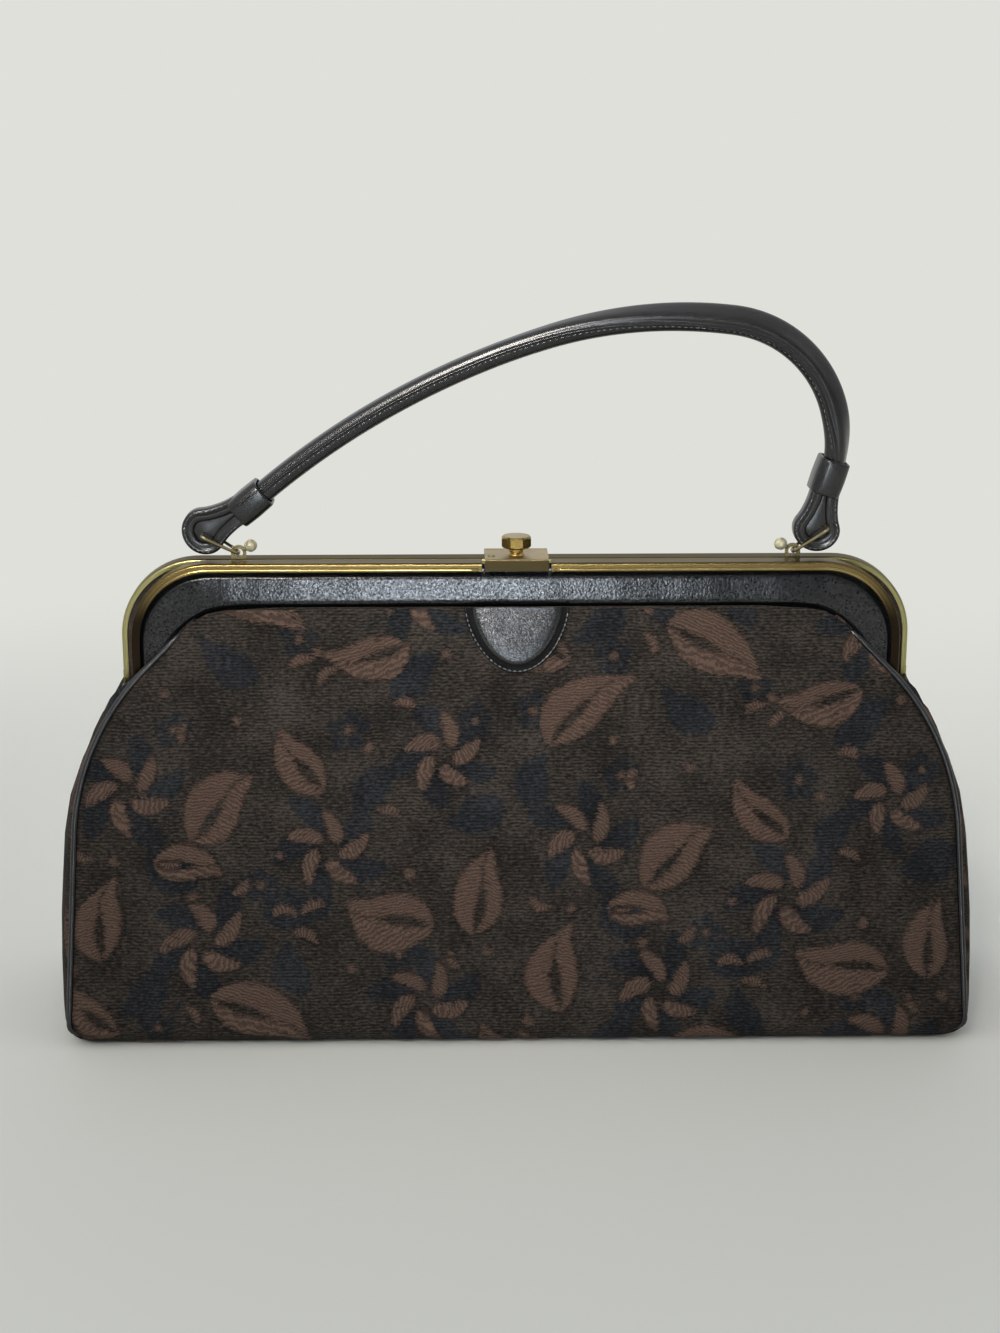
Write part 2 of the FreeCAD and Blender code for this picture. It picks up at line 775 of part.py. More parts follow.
hinge_pin = new_body("clasp_hinge_pin")
pad_disc(hinge_pin, "Pin", "YZ_Plane", pin_y, pin_z, pin_radius, plate_half * 2, offset=-plate_half)

# Faceted knob on a waisted stem
clasp_knob = new_body("clasp_knob")
bind(clasp_knob, Placement__Base__y=(lip_y + plate_back) / 2)
bind(clasp_knob, Placement__Base__z=plate_top)
knob_radius = size("knob_dia") / 2
stem_radius = size("knob_stem_dia") / 2
knob_base = size("knob_stem")
knob_top = knob_base + size("knob_height")
bevel = size("knob_bevel")
stem = new_sketch(clasp_knob, "StemSketch", "XZ_Plane")
stem_top = knob_base + bevel
draw_outline(stem, [(0, 0), (stem_radius * 1.25, 0), (stem_radius, knob_base * 0.4),
                    (stem_radius, stem_top), (0, stem_top)])
turned = clasp_knob.newObject("PartDesign::Revolution", "Stem")
turned.Profile = stem
turned.ReferenceAxis = (stem, ["V_Axis"])
head = clasp_knob.newObject("PartDesign::AdditivePrism", "Head")
head.AttachmentSupport = [(origin_plane(clasp_knob, "XY_Plane"), "")]
head.MapMode = "FlatFace"
head.Polygon = 8
head.AttachmentOffset = FreeCAD.Placement(Vector(0, 0, 0), FreeCAD.Rotation(Vector(0, 0, 1), 22.5))
bind(head, Circumradius=knob_radius, Height=size("knob_height"), AttachmentOffset__Base__z=knob_base)
past = knob_radius + bevel
for edge_name, edge_z, inward in (("TopBevel", knob_top, -1), ("UnderBevel", knob_base, 1)):
    ring = new_sketch(clasp_knob, edge_name + "Sketch", "XZ_Plane")
    draw_outline(ring, [(knob_radius - bevel, edge_z), (past, edge_z), (past, edge_z + bevel * 2 * inward)])
    turned_cut = clasp_knob.newObject("PartDesign::Groove", edge_name)
    turned_cut.Profile = ring
    turned_cut.ReferenceAxis = (ring, ["V_Axis"])

# Catch: keeper bar on the tongue of the front half, leaf spring under the plate
tongue_face = split + sheet_thick
keeper_y = -tongue_face - size("keeper_reach")
keeper_top = keeper_low + size("keeper_height")
keeper_bend = size("keeper_height") / 4
clasp_keeper = new_body("clasp_keeper")
pad(clasp_keeper, "Bar", "YZ_Plane", [
    (-tongue_face, keeper_low), (-tongue_face, keeper_top), (keeper_y, keeper_top, keeper_bend),
    (keeper_y, keeper_low + keeper_bend, keeper_bend)], size("keeper_width"), middle=True)

spring_thick = size("spring_thick")
nose = size("spring_nose")
spring_y = keeper_y - size("spring_gap")
spring_front = spring_y - spring_thick
nose_y = spring_y + nose
clasp_spring = new_body("clasp_spring")
pad(clasp_spring, "Leaf", "YZ_Plane", [
    (-split * 2, plate_under), (spring_front, plate_under, nose), (spring_front, keeper_low + nose * 2),
    (nose_y - nose, keeper_low), (nose_y, keeper_low + nose), (spring_y, keeper_low + nose * 3),
    (spring_y, plate_under - spring_thick), (-split * 2, plate_under - spring_thick)],
    size("spring_width"), middle=True)
rivet_hole(clasp_spring)
clasp_rivet = new_body("clasp_rivet")
rivet_foot = plate_under - spring_thick
pad_disc(clasp_rivet, "Shank", "XY_Plane", rivet_x, rivet_y, clasp_rivet_radius,
         plate_top - rivet_foot, offset=rivet_foot)
pad_disc(clasp_rivet, "Head", "XY_Plane", rivet_x, rivet_y, clasp_rivet_radius * 1.4,
         size("clasp_rivet_head"), offset=plate_top)

# Handle line in the XZ plane: a long crown arc, the apex and a tight drop on the right
lug_x = rear_half - size("lug_inset")
lug_y = size("lug_y")
eye_z = frame_top + size("lug_height")
tuck = size("strap_tuck")
strap_start_x = size("strap_start_in") - lug_x
strap_end_x = lug_x + size("strap_end_out")
angles = [size(a) for a in ("strap_start_angle", "crown_end_angle", "apex_end_angle", "drop_end_angle")]
apex_radius = size("apex_radius")
runs = [sine(angles[n]) - sine(angles[n + 1]) for n in range(3)]
rises = [cosine(angles[n + 1]) - cosine(angles[n]) for n in range(3)]
# Crown and drop radii come from the two places where the strap ends
span = strap_end_x - strap_start_x - apex_radius * runs[1]
climb = size("strap_end_rise") - size("strap_start_rise") - apex_radius * rises[1]
share = runs[0] * rises[2] - runs[2] * rises[0]
crown_radius = (span * rises[2] - climb * runs[2]) / share
drop_radius = (runs[0] * climb - rises[0] * span) / share
radii = [crown_radius, apex_radius, drop_radius]
line = [(strap_start_x, frame_top + size("strap_start_rise"))]
for number, radius in enumerate(radii):
    x, z = line[-1]
    start, stop = angles[number], angles[number + 1]
    line.append((x + radius * (sine(start) - sine(stop)), z + radius * (cosine(stop) - cosine(start))))


def along(point, angle, distance):
    return point[0] + cosine(angle) * distance, point[1] + sine(angle) * distance


strap_start = along(line[0], angles[0], -tuck)
strap_end = along(line[-1], angles[-1], tuck)


def handle_sweep(body, sections):
    path = new_sketch(body, "Path", "XZ_Plane", -lug_y)
    points = [strap_start] + line + [strap_end]
    vectors = [Vector(p[0].number, p[1].number, 0) for p in points]
    edges = [sketch_line(path, vectors[0], vectors[1])]
    for number, radius in enumerate(radii):
        first, last = vectors[number + 1], vectors[number + 2]
        turn = math.radians(angles[number].number)
        centre = first + Vector(math.sin(turn), -math.cos(turn), 0) * radius.number
        circle = Part.Circle(centre, Vector(0, 0, 1), radius.number)
        span = [math.atan2(p.y - centre.y, p.x - centre.x) for p in (last, first)]
        arc = path.addGeometry(Part.ArcOfCircle(circle, *span), False)
        index = path.addConstraint(Sketcher.Constraint("Radius", arc, radius.number))
        path.setExpression("Constraints[%d]" % index, radius.text)
        edges.append((arc, 2, 1))
    edges.append(sketch_line(path, vectors[-2], vectors[-1]))
    for number, (edge, first, last) in enumerate(edges):
        pin_point(path, edge, first, *points[number])
        if number + 1 < len(edges):
            following = edges[number + 1]
            path.addConstraint(Sketcher.Constraint("Coincident", edge, last, following[0], following[1]))
    pin_point(path, edges[-1][0], edges[-1][2], *points[-1])
    profile = new_sketch(body, "Section", "XY_Plane")
    profile.AttachmentOffset = FreeCAD.Placement(Vector(0, 0, 0), FreeCAD.Rotation(Vector(0, 1, 0), 0))
    bind(profile, AttachmentOffset__Base__x=strap_start[0], AttachmentOffset__Base__y=lug_y,
         AttachmentOffset__Base__z=strap_start[1], AttachmentOffset__Rotation__Angle=90 - angles[0])
    for thick, width, bend in sections:
        draw_outline(profile, rectangle(thick / 2, width / -2, width / 2, bend))
    sweep(body, "Bent", profile, path)


def sketch_line(sketch, first, last):
    return sketch.addGeometry(Part.LineSegment(first, last), False), 1, 2


strap_thick = size("strap_thick")
strap_width = size("strap_width")
strap_wall = size("strap_wall")
strap_round = size("strap_round")
hollow = (strap_thick - strap_wall * 2, strap_width - strap_wall * 2, strap_round - strap_wall)
handle_sweep(new_body("handle_strap"), [(strap_thick, strap_width, strap_round), hollow])
core_gap = size("core_gap")
filler = (hollow[0] - core_gap * 2, hollow[1] - core_gap * 2, hollow[2] - core_gap)
handle_sweep(new_body("handle_core"), [filler])


# A body turned about Y at a point of the handle's plane, local X along an angle
def place_on_handle(body, point, angle):
    body.Placement = FreeCAD.Placement(Vector(0, 0, 0), FreeCAD.Rotation(Vector(0, -1, 0), 0))
    bind(body, Placement__Base__x=point[0], Placement__Base__y=lug_y, Placement__Base__z=point[1],
         Placement__Rotation__Angle=angle)


sleeve_length = size("sleeve_length")
sleeve_wall = size("sleeve_wall")
sleeve_gap = size("sleeve_gap")
loop_radius = size("loop_radius")
loop_band = size("loop_band")
wire_radius = size("wire_dia") / 2
ring_half = size("ring_width") / 2
loop_reach = sleeve_length / 2 + size("loop_neck")
ring_eye_half = size("ring_eye_width") / 2
ring_bend = size("ring_bend")

ends = (("left", -1, line[0], angles[0] + 180), ("right", 1, line[-1], angles[-1]))
for hand, side, strap_tip, outward in ends:
    loop_angle = outward - size("loop_turn")
    keeper = new_body("handle_keeper_" + hand)
    centre = along(strap_tip, outward, sleeve_length / 2 + size("sleeve_step"))
    place_on_handle(keeper, centre, outward)
    sleeve = new_sketch(keeper, "SleeveSketch", "YZ_Plane")
    for grow, bend in ((sleeve_gap + sleeve_wall, strap_round + sleeve_wall), (sleeve_gap, strap_round)):
        half_y = strap_width / 2 + grow
        half_z = strap_thick / 2 + grow
        draw_outline(sleeve, rectangle(half_y, -half_z, half_z, bend))
    tube = keeper.newObject("PartDesign::Pad", "Sleeve")
    tube.Profile = sleeve
    tube.SideType = "Symmetric"
    bind(tube, Length=sleeve_length)

    loop = new_body("handle_loop_" + hand)
    loop_centre = along(centre, loop_angle, loop_reach)
    place_on_handle(loop, loop_centre, loop_angle + 180)
    tail = loop_reach - sleeve_length / 2 + size("loop_tuck")
    tail_half = size("loop_tail") / 2
    shoulder = loop_radius * 1.3
    pad(loop, "Band", "XZ_Plane", [
        (tail, tail_half), (-loop_radius, shoulder, loop_radius * 0.95),
        (-loop_radius, -shoulder, loop_radius * 0.95), (tail, -tail_half)], size("loop_width"), middle=True)
    hollow_x = loop_band - loop_radius
    hollow_y = shoulder - loop_band * 1.3
    hollow_end = tail - loop_band * 1.4
    slit = tail_half * 0.3
    cut_through(loop, "Hollow", "XZ_Plane", lambda profile: draw_outline(profile, [
        (hollow_end, slit), (hollow_x, hollow_y, hollow_y * 0.55), (hollow_x, -hollow_y, hollow_y * 0.55),
        (hollow_end, -slit)]))

    lug = new_body("handle_lug_" + hand)
    eye_x = lug_x * side
    bind(lug, Placement__Base__x=eye_x, Placement__Base__y=lug_y, Placement__Base__z=frame_top)
    eye_radius = size("eye_dia") / 2
    lug_height = size("lug_height")
    pad(lug, "Eye", "XZ_Plane", [
        (eye_radius, 0),
        (eye_radius, lug_height + eye_radius, eye_radius * 0.97),
        (-eye_radius, lug_height + eye_radius, eye_radius * 0.97), (-eye_radius, 0)],
        size("eye_thick"), middle=True)
    cut_through(lug, "Bore", "XZ_Plane",
                lambda profile: draw_circle(profile, 0, lug_height, size("eye_bore") / 2))
    ball_angle = size("ball_angle")
    stalk = lug.newObject("PartDesign::AdditiveCylinder", "Stalk")
    stalk.AttachmentSupport = [(origin_plane(lug, "XY_Plane"), "")]
    stalk.MapMode = "FlatFace"
    stalk.AttachmentOffset = FreeCAD.Placement(Vector(0, 0, 0), FreeCAD.Rotation(Vector(0, -side, 0), 0))
    stalk_foot = eye_radius * 0.7
    bind(stalk, Radius=size("eye_thick") * 0.7, Height=size("ball_dia"),
         AttachmentOffset__Base__x=stalk_foot * sine(ball_angle) * -side,
         AttachmentOffset__Base__z=lug_height + stalk_foot * cosine(ball_angle),
         AttachmentOffset__Rotation__Angle=ball_angle)
    ball = lug.newObject("PartDesign::AdditiveSphere", "Ball")
    ball.AttachmentSupport = [(origin_plane(lug, "XY_Plane"), "")]
    ball.MapMode = "FlatFace"
    ball_reach = size("ball_dia") + stalk_foot
    bind(ball, Radius=size("ball_dia") / 2,
         AttachmentOffset__Base__x=ball_reach * sine(ball_angle) * -side,
         AttachmentOffset__Base__z=lug_height + ball_reach * cosine(ball_angle))

    ring = new_body("handle_ring_" + hand)
    bar = along(loop_centre, loop_angle, size("ring_seat_" + hand))
    reach_x = (bar[0] - eye_x) * side
    reach_z = bar[1] - eye_z
    ring_length = root(reach_x * reach_x + reach_z * reach_z)
    lift = slope_angle(reach_z, reach_x)
    place_on_handle(ring, (eye_x, eye_z), lift if side > 0 else 180 - lift)
    path = new_sketch(ring, "Path", "XY_Plane")
    draw_outline(path, [(ring_length, 0), (ring_length, ring_half, ring_bend), (0, ring_eye_half, ring_bend),
                        (0, -ring_eye_half, ring_bend), (ring_length, -ring_half, ring_bend)])
    wire = new_sketch(ring, "Wire", "XZ_Plane")
    draw_circle(wire, ring_length, 0, wire_radius)
    sweep(ring, "Bent", wire, path)

# Build, test every object and write one file for each sub-part
doc.recompute()
for item in doc.Objects:
    if "Invalid" in item.State or "Error" in item.State:
        raise RuntimeError("%s failed: %s" % (item.Label, item.State))
for node in nodes:
    if node.Shape.isNull() or not node.Shape.isValid() or not node.Shape.Solids:
        raise RuntimeError("%s has no valid solid" % node.Label)
os.makedirs("parts", exist_ok=True)
for node in nodes:
    node.Shape.exportStep("parts/%s.step" % node.Label)
    box = node.Shape.BoundBox
    print("%-22s %d solid(s) %9.1f mm3  x %.1f..%.1f  y %.1f..%.1f  z %.1f..%.1f" % (
        node.Label, len(node.Shape.Solids), node.Shape.Volume, box.XMin, box.XMax, box.YMin, box.YMax,
        box.ZMin, box.ZMax))
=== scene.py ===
import bpy
import math
import numpy as np
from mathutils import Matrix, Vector


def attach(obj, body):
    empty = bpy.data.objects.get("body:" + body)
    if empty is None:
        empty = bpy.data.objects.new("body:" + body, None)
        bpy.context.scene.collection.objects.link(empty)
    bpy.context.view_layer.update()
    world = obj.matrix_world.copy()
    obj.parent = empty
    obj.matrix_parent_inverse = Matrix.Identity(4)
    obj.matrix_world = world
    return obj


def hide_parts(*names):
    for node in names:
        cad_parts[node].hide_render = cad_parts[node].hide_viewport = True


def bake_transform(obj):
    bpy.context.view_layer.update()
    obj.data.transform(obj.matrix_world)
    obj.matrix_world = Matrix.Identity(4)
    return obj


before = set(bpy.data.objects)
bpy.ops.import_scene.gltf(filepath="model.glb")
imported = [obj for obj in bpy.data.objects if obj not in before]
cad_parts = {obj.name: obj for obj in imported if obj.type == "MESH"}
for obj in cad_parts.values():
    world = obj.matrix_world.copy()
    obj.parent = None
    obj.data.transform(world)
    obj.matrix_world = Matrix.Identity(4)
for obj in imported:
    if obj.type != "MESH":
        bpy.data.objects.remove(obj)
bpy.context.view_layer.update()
mm = 0.001


# small helpers

def linearColour(hexText):
    parts = [int(hexText[i:i + 2], 16) / 255 for i in (1, 3, 5)]
    return [p / 12.92 if p <= 0.04045 else ((p + 0.055) / 1.055) ** 2.4 for p in parts] + [1.0]


def addNode(tree, kind, sockets=None, links=None, **settings):
    node = tree.nodes.new(kind)
    for name, value in settings.items():
        setattr(node, name, value)
    for name, value in (sockets or {}).items():
        node.inputs[name].default_value = linearColour(value) if isinstance(value, str) else value
    for name, (source, output) in (links or {}).items():
        tree.links.new(source.outputs[output], node.inputs[name])
    return node


def newMaterial(name, sockets):
    material = bpy.data.materials.new(name)
    material.use_nodes = True
    tree = material.node_tree
    tree.nodes.clear()
    shader = addNode(tree, "ShaderNodeBsdfPrincipled", sockets)
    addNode(tree, "ShaderNodeOutputMaterial", None, {"Surface": (shader, "BSDF")})
    return material, tree, shader


def rampStops(node, stops):
    ramp = node.color_ramp
    while len(ramp.elements) < len(stops):
        ramp.elements.new(0.5)
    for element, (place, colour) in zip(ramp.elements, stops):
        element.position = place
        element.color = linearColour(colour)


def smoothStep(low, high, value):
    t = np.clip((value - low) / (high - low), 0, 1)
    return t * t * (3 - 2 * t)


# points in millimetres, faces as index tuples
def meshPiece(name, points, faces, material, smooth=True):
    mesh = bpy.data.meshes.new(name)
    mesh.from_pydata((np.asarray(points, float) * mm).tolist(), [], [tuple(f) for f in faces])
    mesh.materials.append(material)
    mesh.update()
    mesh.polygons.foreach_set("use_smooth", [smooth] * len(mesh.polygons))
    piece = bpy.data.objects.new(name, mesh)
    bpy.context.scene.collection.objects.link(piece)
    return piece


def gridFaces(rows, columns, roundWay=False, flip=False):
    faces = []
    for r in range(rows - 1):
        for c in range(columns if roundWay else columns - 1):
            d = (c + 1) % columns
            face = (r * columns + c, r * columns + d, (r + 1) * columns + d, (r + 1) * columns + c)
            faces.append(face[::-1] if flip else face)
    return faces


# faces of a tube of rings, closed by a flat cap at each end
def tubeFaces(rows, columns, flip=False):
    caps = [tuple(range(columns))[::-1], tuple(range((rows - 1) * columns, rows * columns))]
    return gridFaces(rows, columns, roundWay=True, flip=flip) + [cap[::-1] if flip else cap for cap in caps]


def storePoints(piece, name, values):
    kind = "FLOAT" if values.ndim == 1 else "FLOAT_VECTOR"
    attribute = piece.data.attributes.new(name, kind, "POINT")
    attribute.data.foreach_set("value" if values.ndim == 1 else "vector", values.astype(np.float32).ravel())


def unit(vectors):
    return vectors / np.maximum(np.linalg.norm(vectors, axis=-1, keepdims=True), 1e-9)


# distance run along a line of points
def runsAlong(points):
    return np.concatenate([[0], np.cumsum(np.linalg.norm(np.diff(points, axis=0), axis=1))])


# materials

# figured brocade: matt black-brown ground of broken cross ribs, brown floats that catch a little light;
# ribs and floats are drawn coarser than real ones, so that they show in the render
def brocadeCloth():
    look = {"pit": "#151210", "ground": "#2a2622", "slub": "#47403a",
            "inkPit": "#0e0f11", "ink": "#1b1c1f", "inkLight": "#323336",
            "shade": "#3c312b", "brown": "#4b3d35", "brownLight": "#624f44",
            "ribMm": 1.15, "floatMm": 1.25, "ragMm": 0.8, "slubsPerMm": 1.15, "patchMm": 20.0,
            "straysPerMm": 0.3, "flecksPerMm": 1.5, "puckerMm": 1.0, "bumpMm": 0.5,
            # reach of the ragged edges and of the straying floats, and where each edge starts and ends, mm
            "ragReach": 7.0, "strayReach": 3.6, "brownEdge": (3.2, 4.0), "inkEdge": (2.9, 4.8),
            "rimInside": (3.9, 4.7), "rimOutside": (3.3, 2.2), "rimShade": 0.72,
            "puckerFrom": 0.29, "puckerTo": 0.40, "puckerShade": 0.45}
    material, tree, shader = newMaterial("brocadeCloth", {"Roughness": 0.85, "Specular IOR Level": 0.10})
    flat, brown, ink, lay = [addNode(tree, "ShaderNodeAttribute", attribute_name=name)
                             for name in ("clothMm", "brownField", "inkField", "floatMm")]
    # each pick of the weft stops short or runs over, so motif edges step sideways
    pickWay = addNode(tree, "ShaderNodeMapping", {"Scale": (0.32, 1.25, 1)}, {"Vector": (flat, "Vector")})
    rag = addNode(tree, "ShaderNodeTexNoise", {"Scale": 1 / look["ragMm"], "Detail": 2.0, "Roughness": 0.7},
                  {"Vector": (pickWay, "Vector")})
    ragMm = addNode(tree, "ShaderNodeMath", {1: look["ragReach"]}, {0: (rag, "Fac")}, operation="MULTIPLY")
    edges = [addNode(tree, "ShaderNodeMath", None, {0: (field, "Fac"), 1: (ragMm, "Value")}, operation="ADD")
             for field in (brown, ink)]
    # brown floats end sharply, the ink ground shades off
    masks = [addNode(tree, "ShaderNodeMapRange", {"From Min": low, "From Max": high},
                     {"Value": (edge, "Value")}, interpolation_type="SMOOTHSTEP")
             for edge, (low, high) in zip(edges, (look["brownEdge"], look["inkEdge"]))]
    # ground: short broken dashes across the panel, some thicker than others, over a faint even rib
    slubWay = addNode(tree, "ShaderNodeMapping", {"Scale": (0.45, 1.0, 1)}, {"Vector": (flat, "Vector")})
    slubs = addNode(tree, "ShaderNodeTexNoise",
                    {"Scale": look["slubsPerMm"], "Detail": 4.0, "Roughness": 0.72},
                    {"Vector": (slubWay, "Vector")})
    ribs = addNode(tree, "ShaderNodeTexWave", {"Scale": 2 * math.pi / look["ribMm"] / 20, "Distortion": 9.0,
                                               "Detail": 2.0, "Detail Scale": 0.12, "Detail Roughness": 0.7},
                   {"Vector": (flat, "Vector")}, bands_direction="Y")
    patches = addNode(tree, "ShaderNodeTexNoise", {"Scale": 1 / look["patchMm"], "Detail": 2.0},
                      {"Vector": (flat, "Vector")})
    ribbed = addNode(tree, "ShaderNodeMath", {1: 0.10}, {0: (ribs, "Fac"), 2: (slubs, "Fac")},
                     operation="MULTIPLY_ADD")
    groundMix = addNode(tree, "ShaderNodeMath", {1: 0.35}, {0: (patches, "Fac"), 2: (ribbed, "Value")},
                        operation="MULTIPLY_ADD")
    ground = addNode(tree, "ShaderNodeValToRGB", None, {"Fac": (groundMix, "Value")})
    rampStops(ground, [(0.58, look["pit"]), (0.72, look["ground"]), (0.90, look["slub"])])
    inkTone = addNode(tree, "ShaderNodeValToRGB", None, {"Fac": (groundMix, "Value")})
    rampStops(inkTone, [(0.56, look["inkPit"]), (0.70, look["ink"]), (0.88, look["inkLight"])])
    # floats lie across each leaf and petal and wander a little
    stray = addNode(tree, "ShaderNodeTexNoise",
                    {"Scale": look["straysPerMm"], "Detail": 4.0, "Roughness": 0.6},
                    {"Vector": (flat, "Vector")})
    strayed = addNode(tree, "ShaderNodeMath", {1: look["strayReach"]}, {0: (stray, "Fac"), 2: (lay, "Fac")},
                      operation="MULTIPLY_ADD")
    layWay = addNode(tree, "ShaderNodeCombineXYZ", None, {"X": (strayed, "Value")})
    floats = addNode(tree, "ShaderNodeTexWave", {"Scale": 2 * math.pi / look["floatMm"] / 20},
                     {"Vector": (layWay, "Vector")}, bands_direction="X")
    flecks = addNode(tree, "ShaderNodeTexNoise",
                     {"Scale": look["flecksPerMm"], "Detail": 3.0, "Roughness": 0.75},
                     {"Vector": (flat, "Vector")})
    floatTone = addNode(tree, "ShaderNodeMath", {1: 0.42}, {0: (floats, "Fac"), 2: (flecks, "Fac")},
                        operation="MULTIPLY_ADD")
    brownTone = addNode(tree, "ShaderNodeValToRGB", None, {"Fac": (floatTone, "Value")})
    rampStops(brownTone, [(0.42, look["shade"]), (0.66, look["brown"]), (0.98, look["brownLight"])])
    inked = addNode(tree, "ShaderNodeMix", None, {"Factor": (masks[1], "Result"), "A": (ground, "Color"),
                                                  "B": (inkTone, "Color")}, data_type="RGBA")
    coloured = addNode(tree, "ShaderNodeMix", None, {"Factor": (masks[0], "Result"), "A": (inked, "Result"),
                                                     "B": (brownTone, "Color")}, data_type="RGBA")
    # a dark line where the brown floats dive under: painted shade in the hollow round each motif
    inside, outside = [addNode(tree, "ShaderNodeMapRange",
                               {"From Min": start, "From Max": end, "To Min": look["rimShade"]},
                               {"Value": (edges[0], "Value")})
                       for start, end in (look["rimInside"], look["rimOutside"])]
    rim = addNode(tree, "ShaderNodeMath", None, {0: (inside, "Result"), 1: (outside, "Result")},
                  operation="MAXIMUM")
    # short puckers where the slack ground folds on itself: raised in the bump, and darkened with painted
    # shade in each fold
    puckerWay = addNode(tree, "ShaderNodeMapping", {"Scale": (0.15, 0.62, 1)}, {"Vector": (flat, "Vector")})
    puckers = addNode(tree, "ShaderNodeTexNoise",
                      {"Scale": 1 / look["puckerMm"], "Detail": 3.0, "Roughness": 0.6},
                      {"Vector": (puckerWay, "Vector")})
    pucker = addNode(tree, "ShaderNodeMapRange",
                     {"From Min": look["puckerFrom"], "From Max": look["puckerTo"],
                      "To Min": look["puckerShade"]},
                     {"Value": (puckers, "Fac")}, interpolation_type="SMOOTHSTEP")
    dark = addNode(tree, "ShaderNodeMath", None, {0: (rim, "Value"), 1: (pucker, "Result")},
                   operation="MULTIPLY")
    shaded = addNode(tree, "ShaderNodeMix", {"Factor": 1.0},
                     {"A": (coloured, "Result"), "B": (dark, "Value")},
                     data_type="RGBA", blend_type="MULTIPLY")
    tree.links.new(shaded.outputs["Result"], shader.inputs["Base Color"])
    height = addNode(tree, "ShaderNodeMix", None, {"Factor": (masks[0], "Result"), "A": (groundMix, "Value"),
                                                   "B": (floatTone, "Value")}, data_type="FLOAT")
    folded = addNode(tree, "ShaderNodeMath", {1: 0.5}, {0: (pucker, "Result"), 2: (height, "Result")},
                     operation="MULTIPLY_ADD")
    bump = addNode(tree, "ShaderNodeBump", {"Strength": 0.9, "Distance": look["bumpMm"] * mm},
                   {"Height": (folded, "Value")})
    tree.links.new(bump.outputs["Normal"], shader.inputs["Normal"])
    return material


# chrome-tanned calf, dyed through and finished: black, with a grey glint on each pebble of the grain;
# the grain is drawn two to three times its real size, so that it still shows from across a table
def grainLeather(name, dark, light, grainMm, rough, spec, depthMm, glinting):
    hide = {"speckSize": 1.1, "creaseMm": 7.0, "pebbleDip": -0.6, "glintFrom": 0.34, "glintTo": 0.66}
    material, tree, shader = newMaterial(name, {"Roughness": rough, "Specular IOR Level": spec})
    place = addNode(tree, "ShaderNodeTexCoord")
    pebble = addNode(tree, "ShaderNodeTexVoronoi", {"Scale": 1 / (grainMm * mm), "Randomness": 1.0},
                     {"Vector": (place, "Object")}, feature="F1")
    speck = addNode(tree, "ShaderNodeTexNoise",
                    {"Scale": 1 / (grainMm * hide["speckSize"] * mm), "Detail": 3.0, "Roughness": 0.7},
                    {"Vector": (place, "Object")})
    crease = addNode(tree, "ShaderNodeTexNoise",
                     {"Scale": 1 / (hide["creaseMm"] * mm), "Detail": 5.0, "Roughness": 0.62},
                     {"Vector": (place, "Object")})
    grain = addNode(tree, "ShaderNodeMath", None, {0: (speck, "Fac"), 1: (crease, "Fac")},
                    operation="MULTIPLY")
    tone = addNode(tree, "ShaderNodeValToRGB", None, {"Fac": (grain, "Value")})
    rampStops(tone, [(0.16, dark), (0.36, light)])
    tree.links.new(tone.outputs["Color"], shader.inputs["Base Color"])
    glint = addNode(tree, "ShaderNodeMapRange",
                    {"From Min": hide["glintFrom"], "From Max": hide["glintTo"],
                     "To Min": spec * (1 - glinting), "To Max": spec}, {"Value": (speck, "Fac")})
    tree.links.new(glint.outputs["Result"], shader.inputs["Specular IOR Level"])
    height = addNode(tree, "ShaderNodeMath", {1: hide["pebbleDip"]},
                     {0: (pebble, "Distance"), 2: (speck, "Fac")}, operation="MULTIPLY_ADD")
    bump = addNode(tree, "ShaderNodeBump", {"Strength": 1.0, "Distance": depthMm * mm},
                   {"Height": (height, "Value")})
    tree.links.new(bump.outputs["Normal"], shader.inputs["Normal"])
    return material


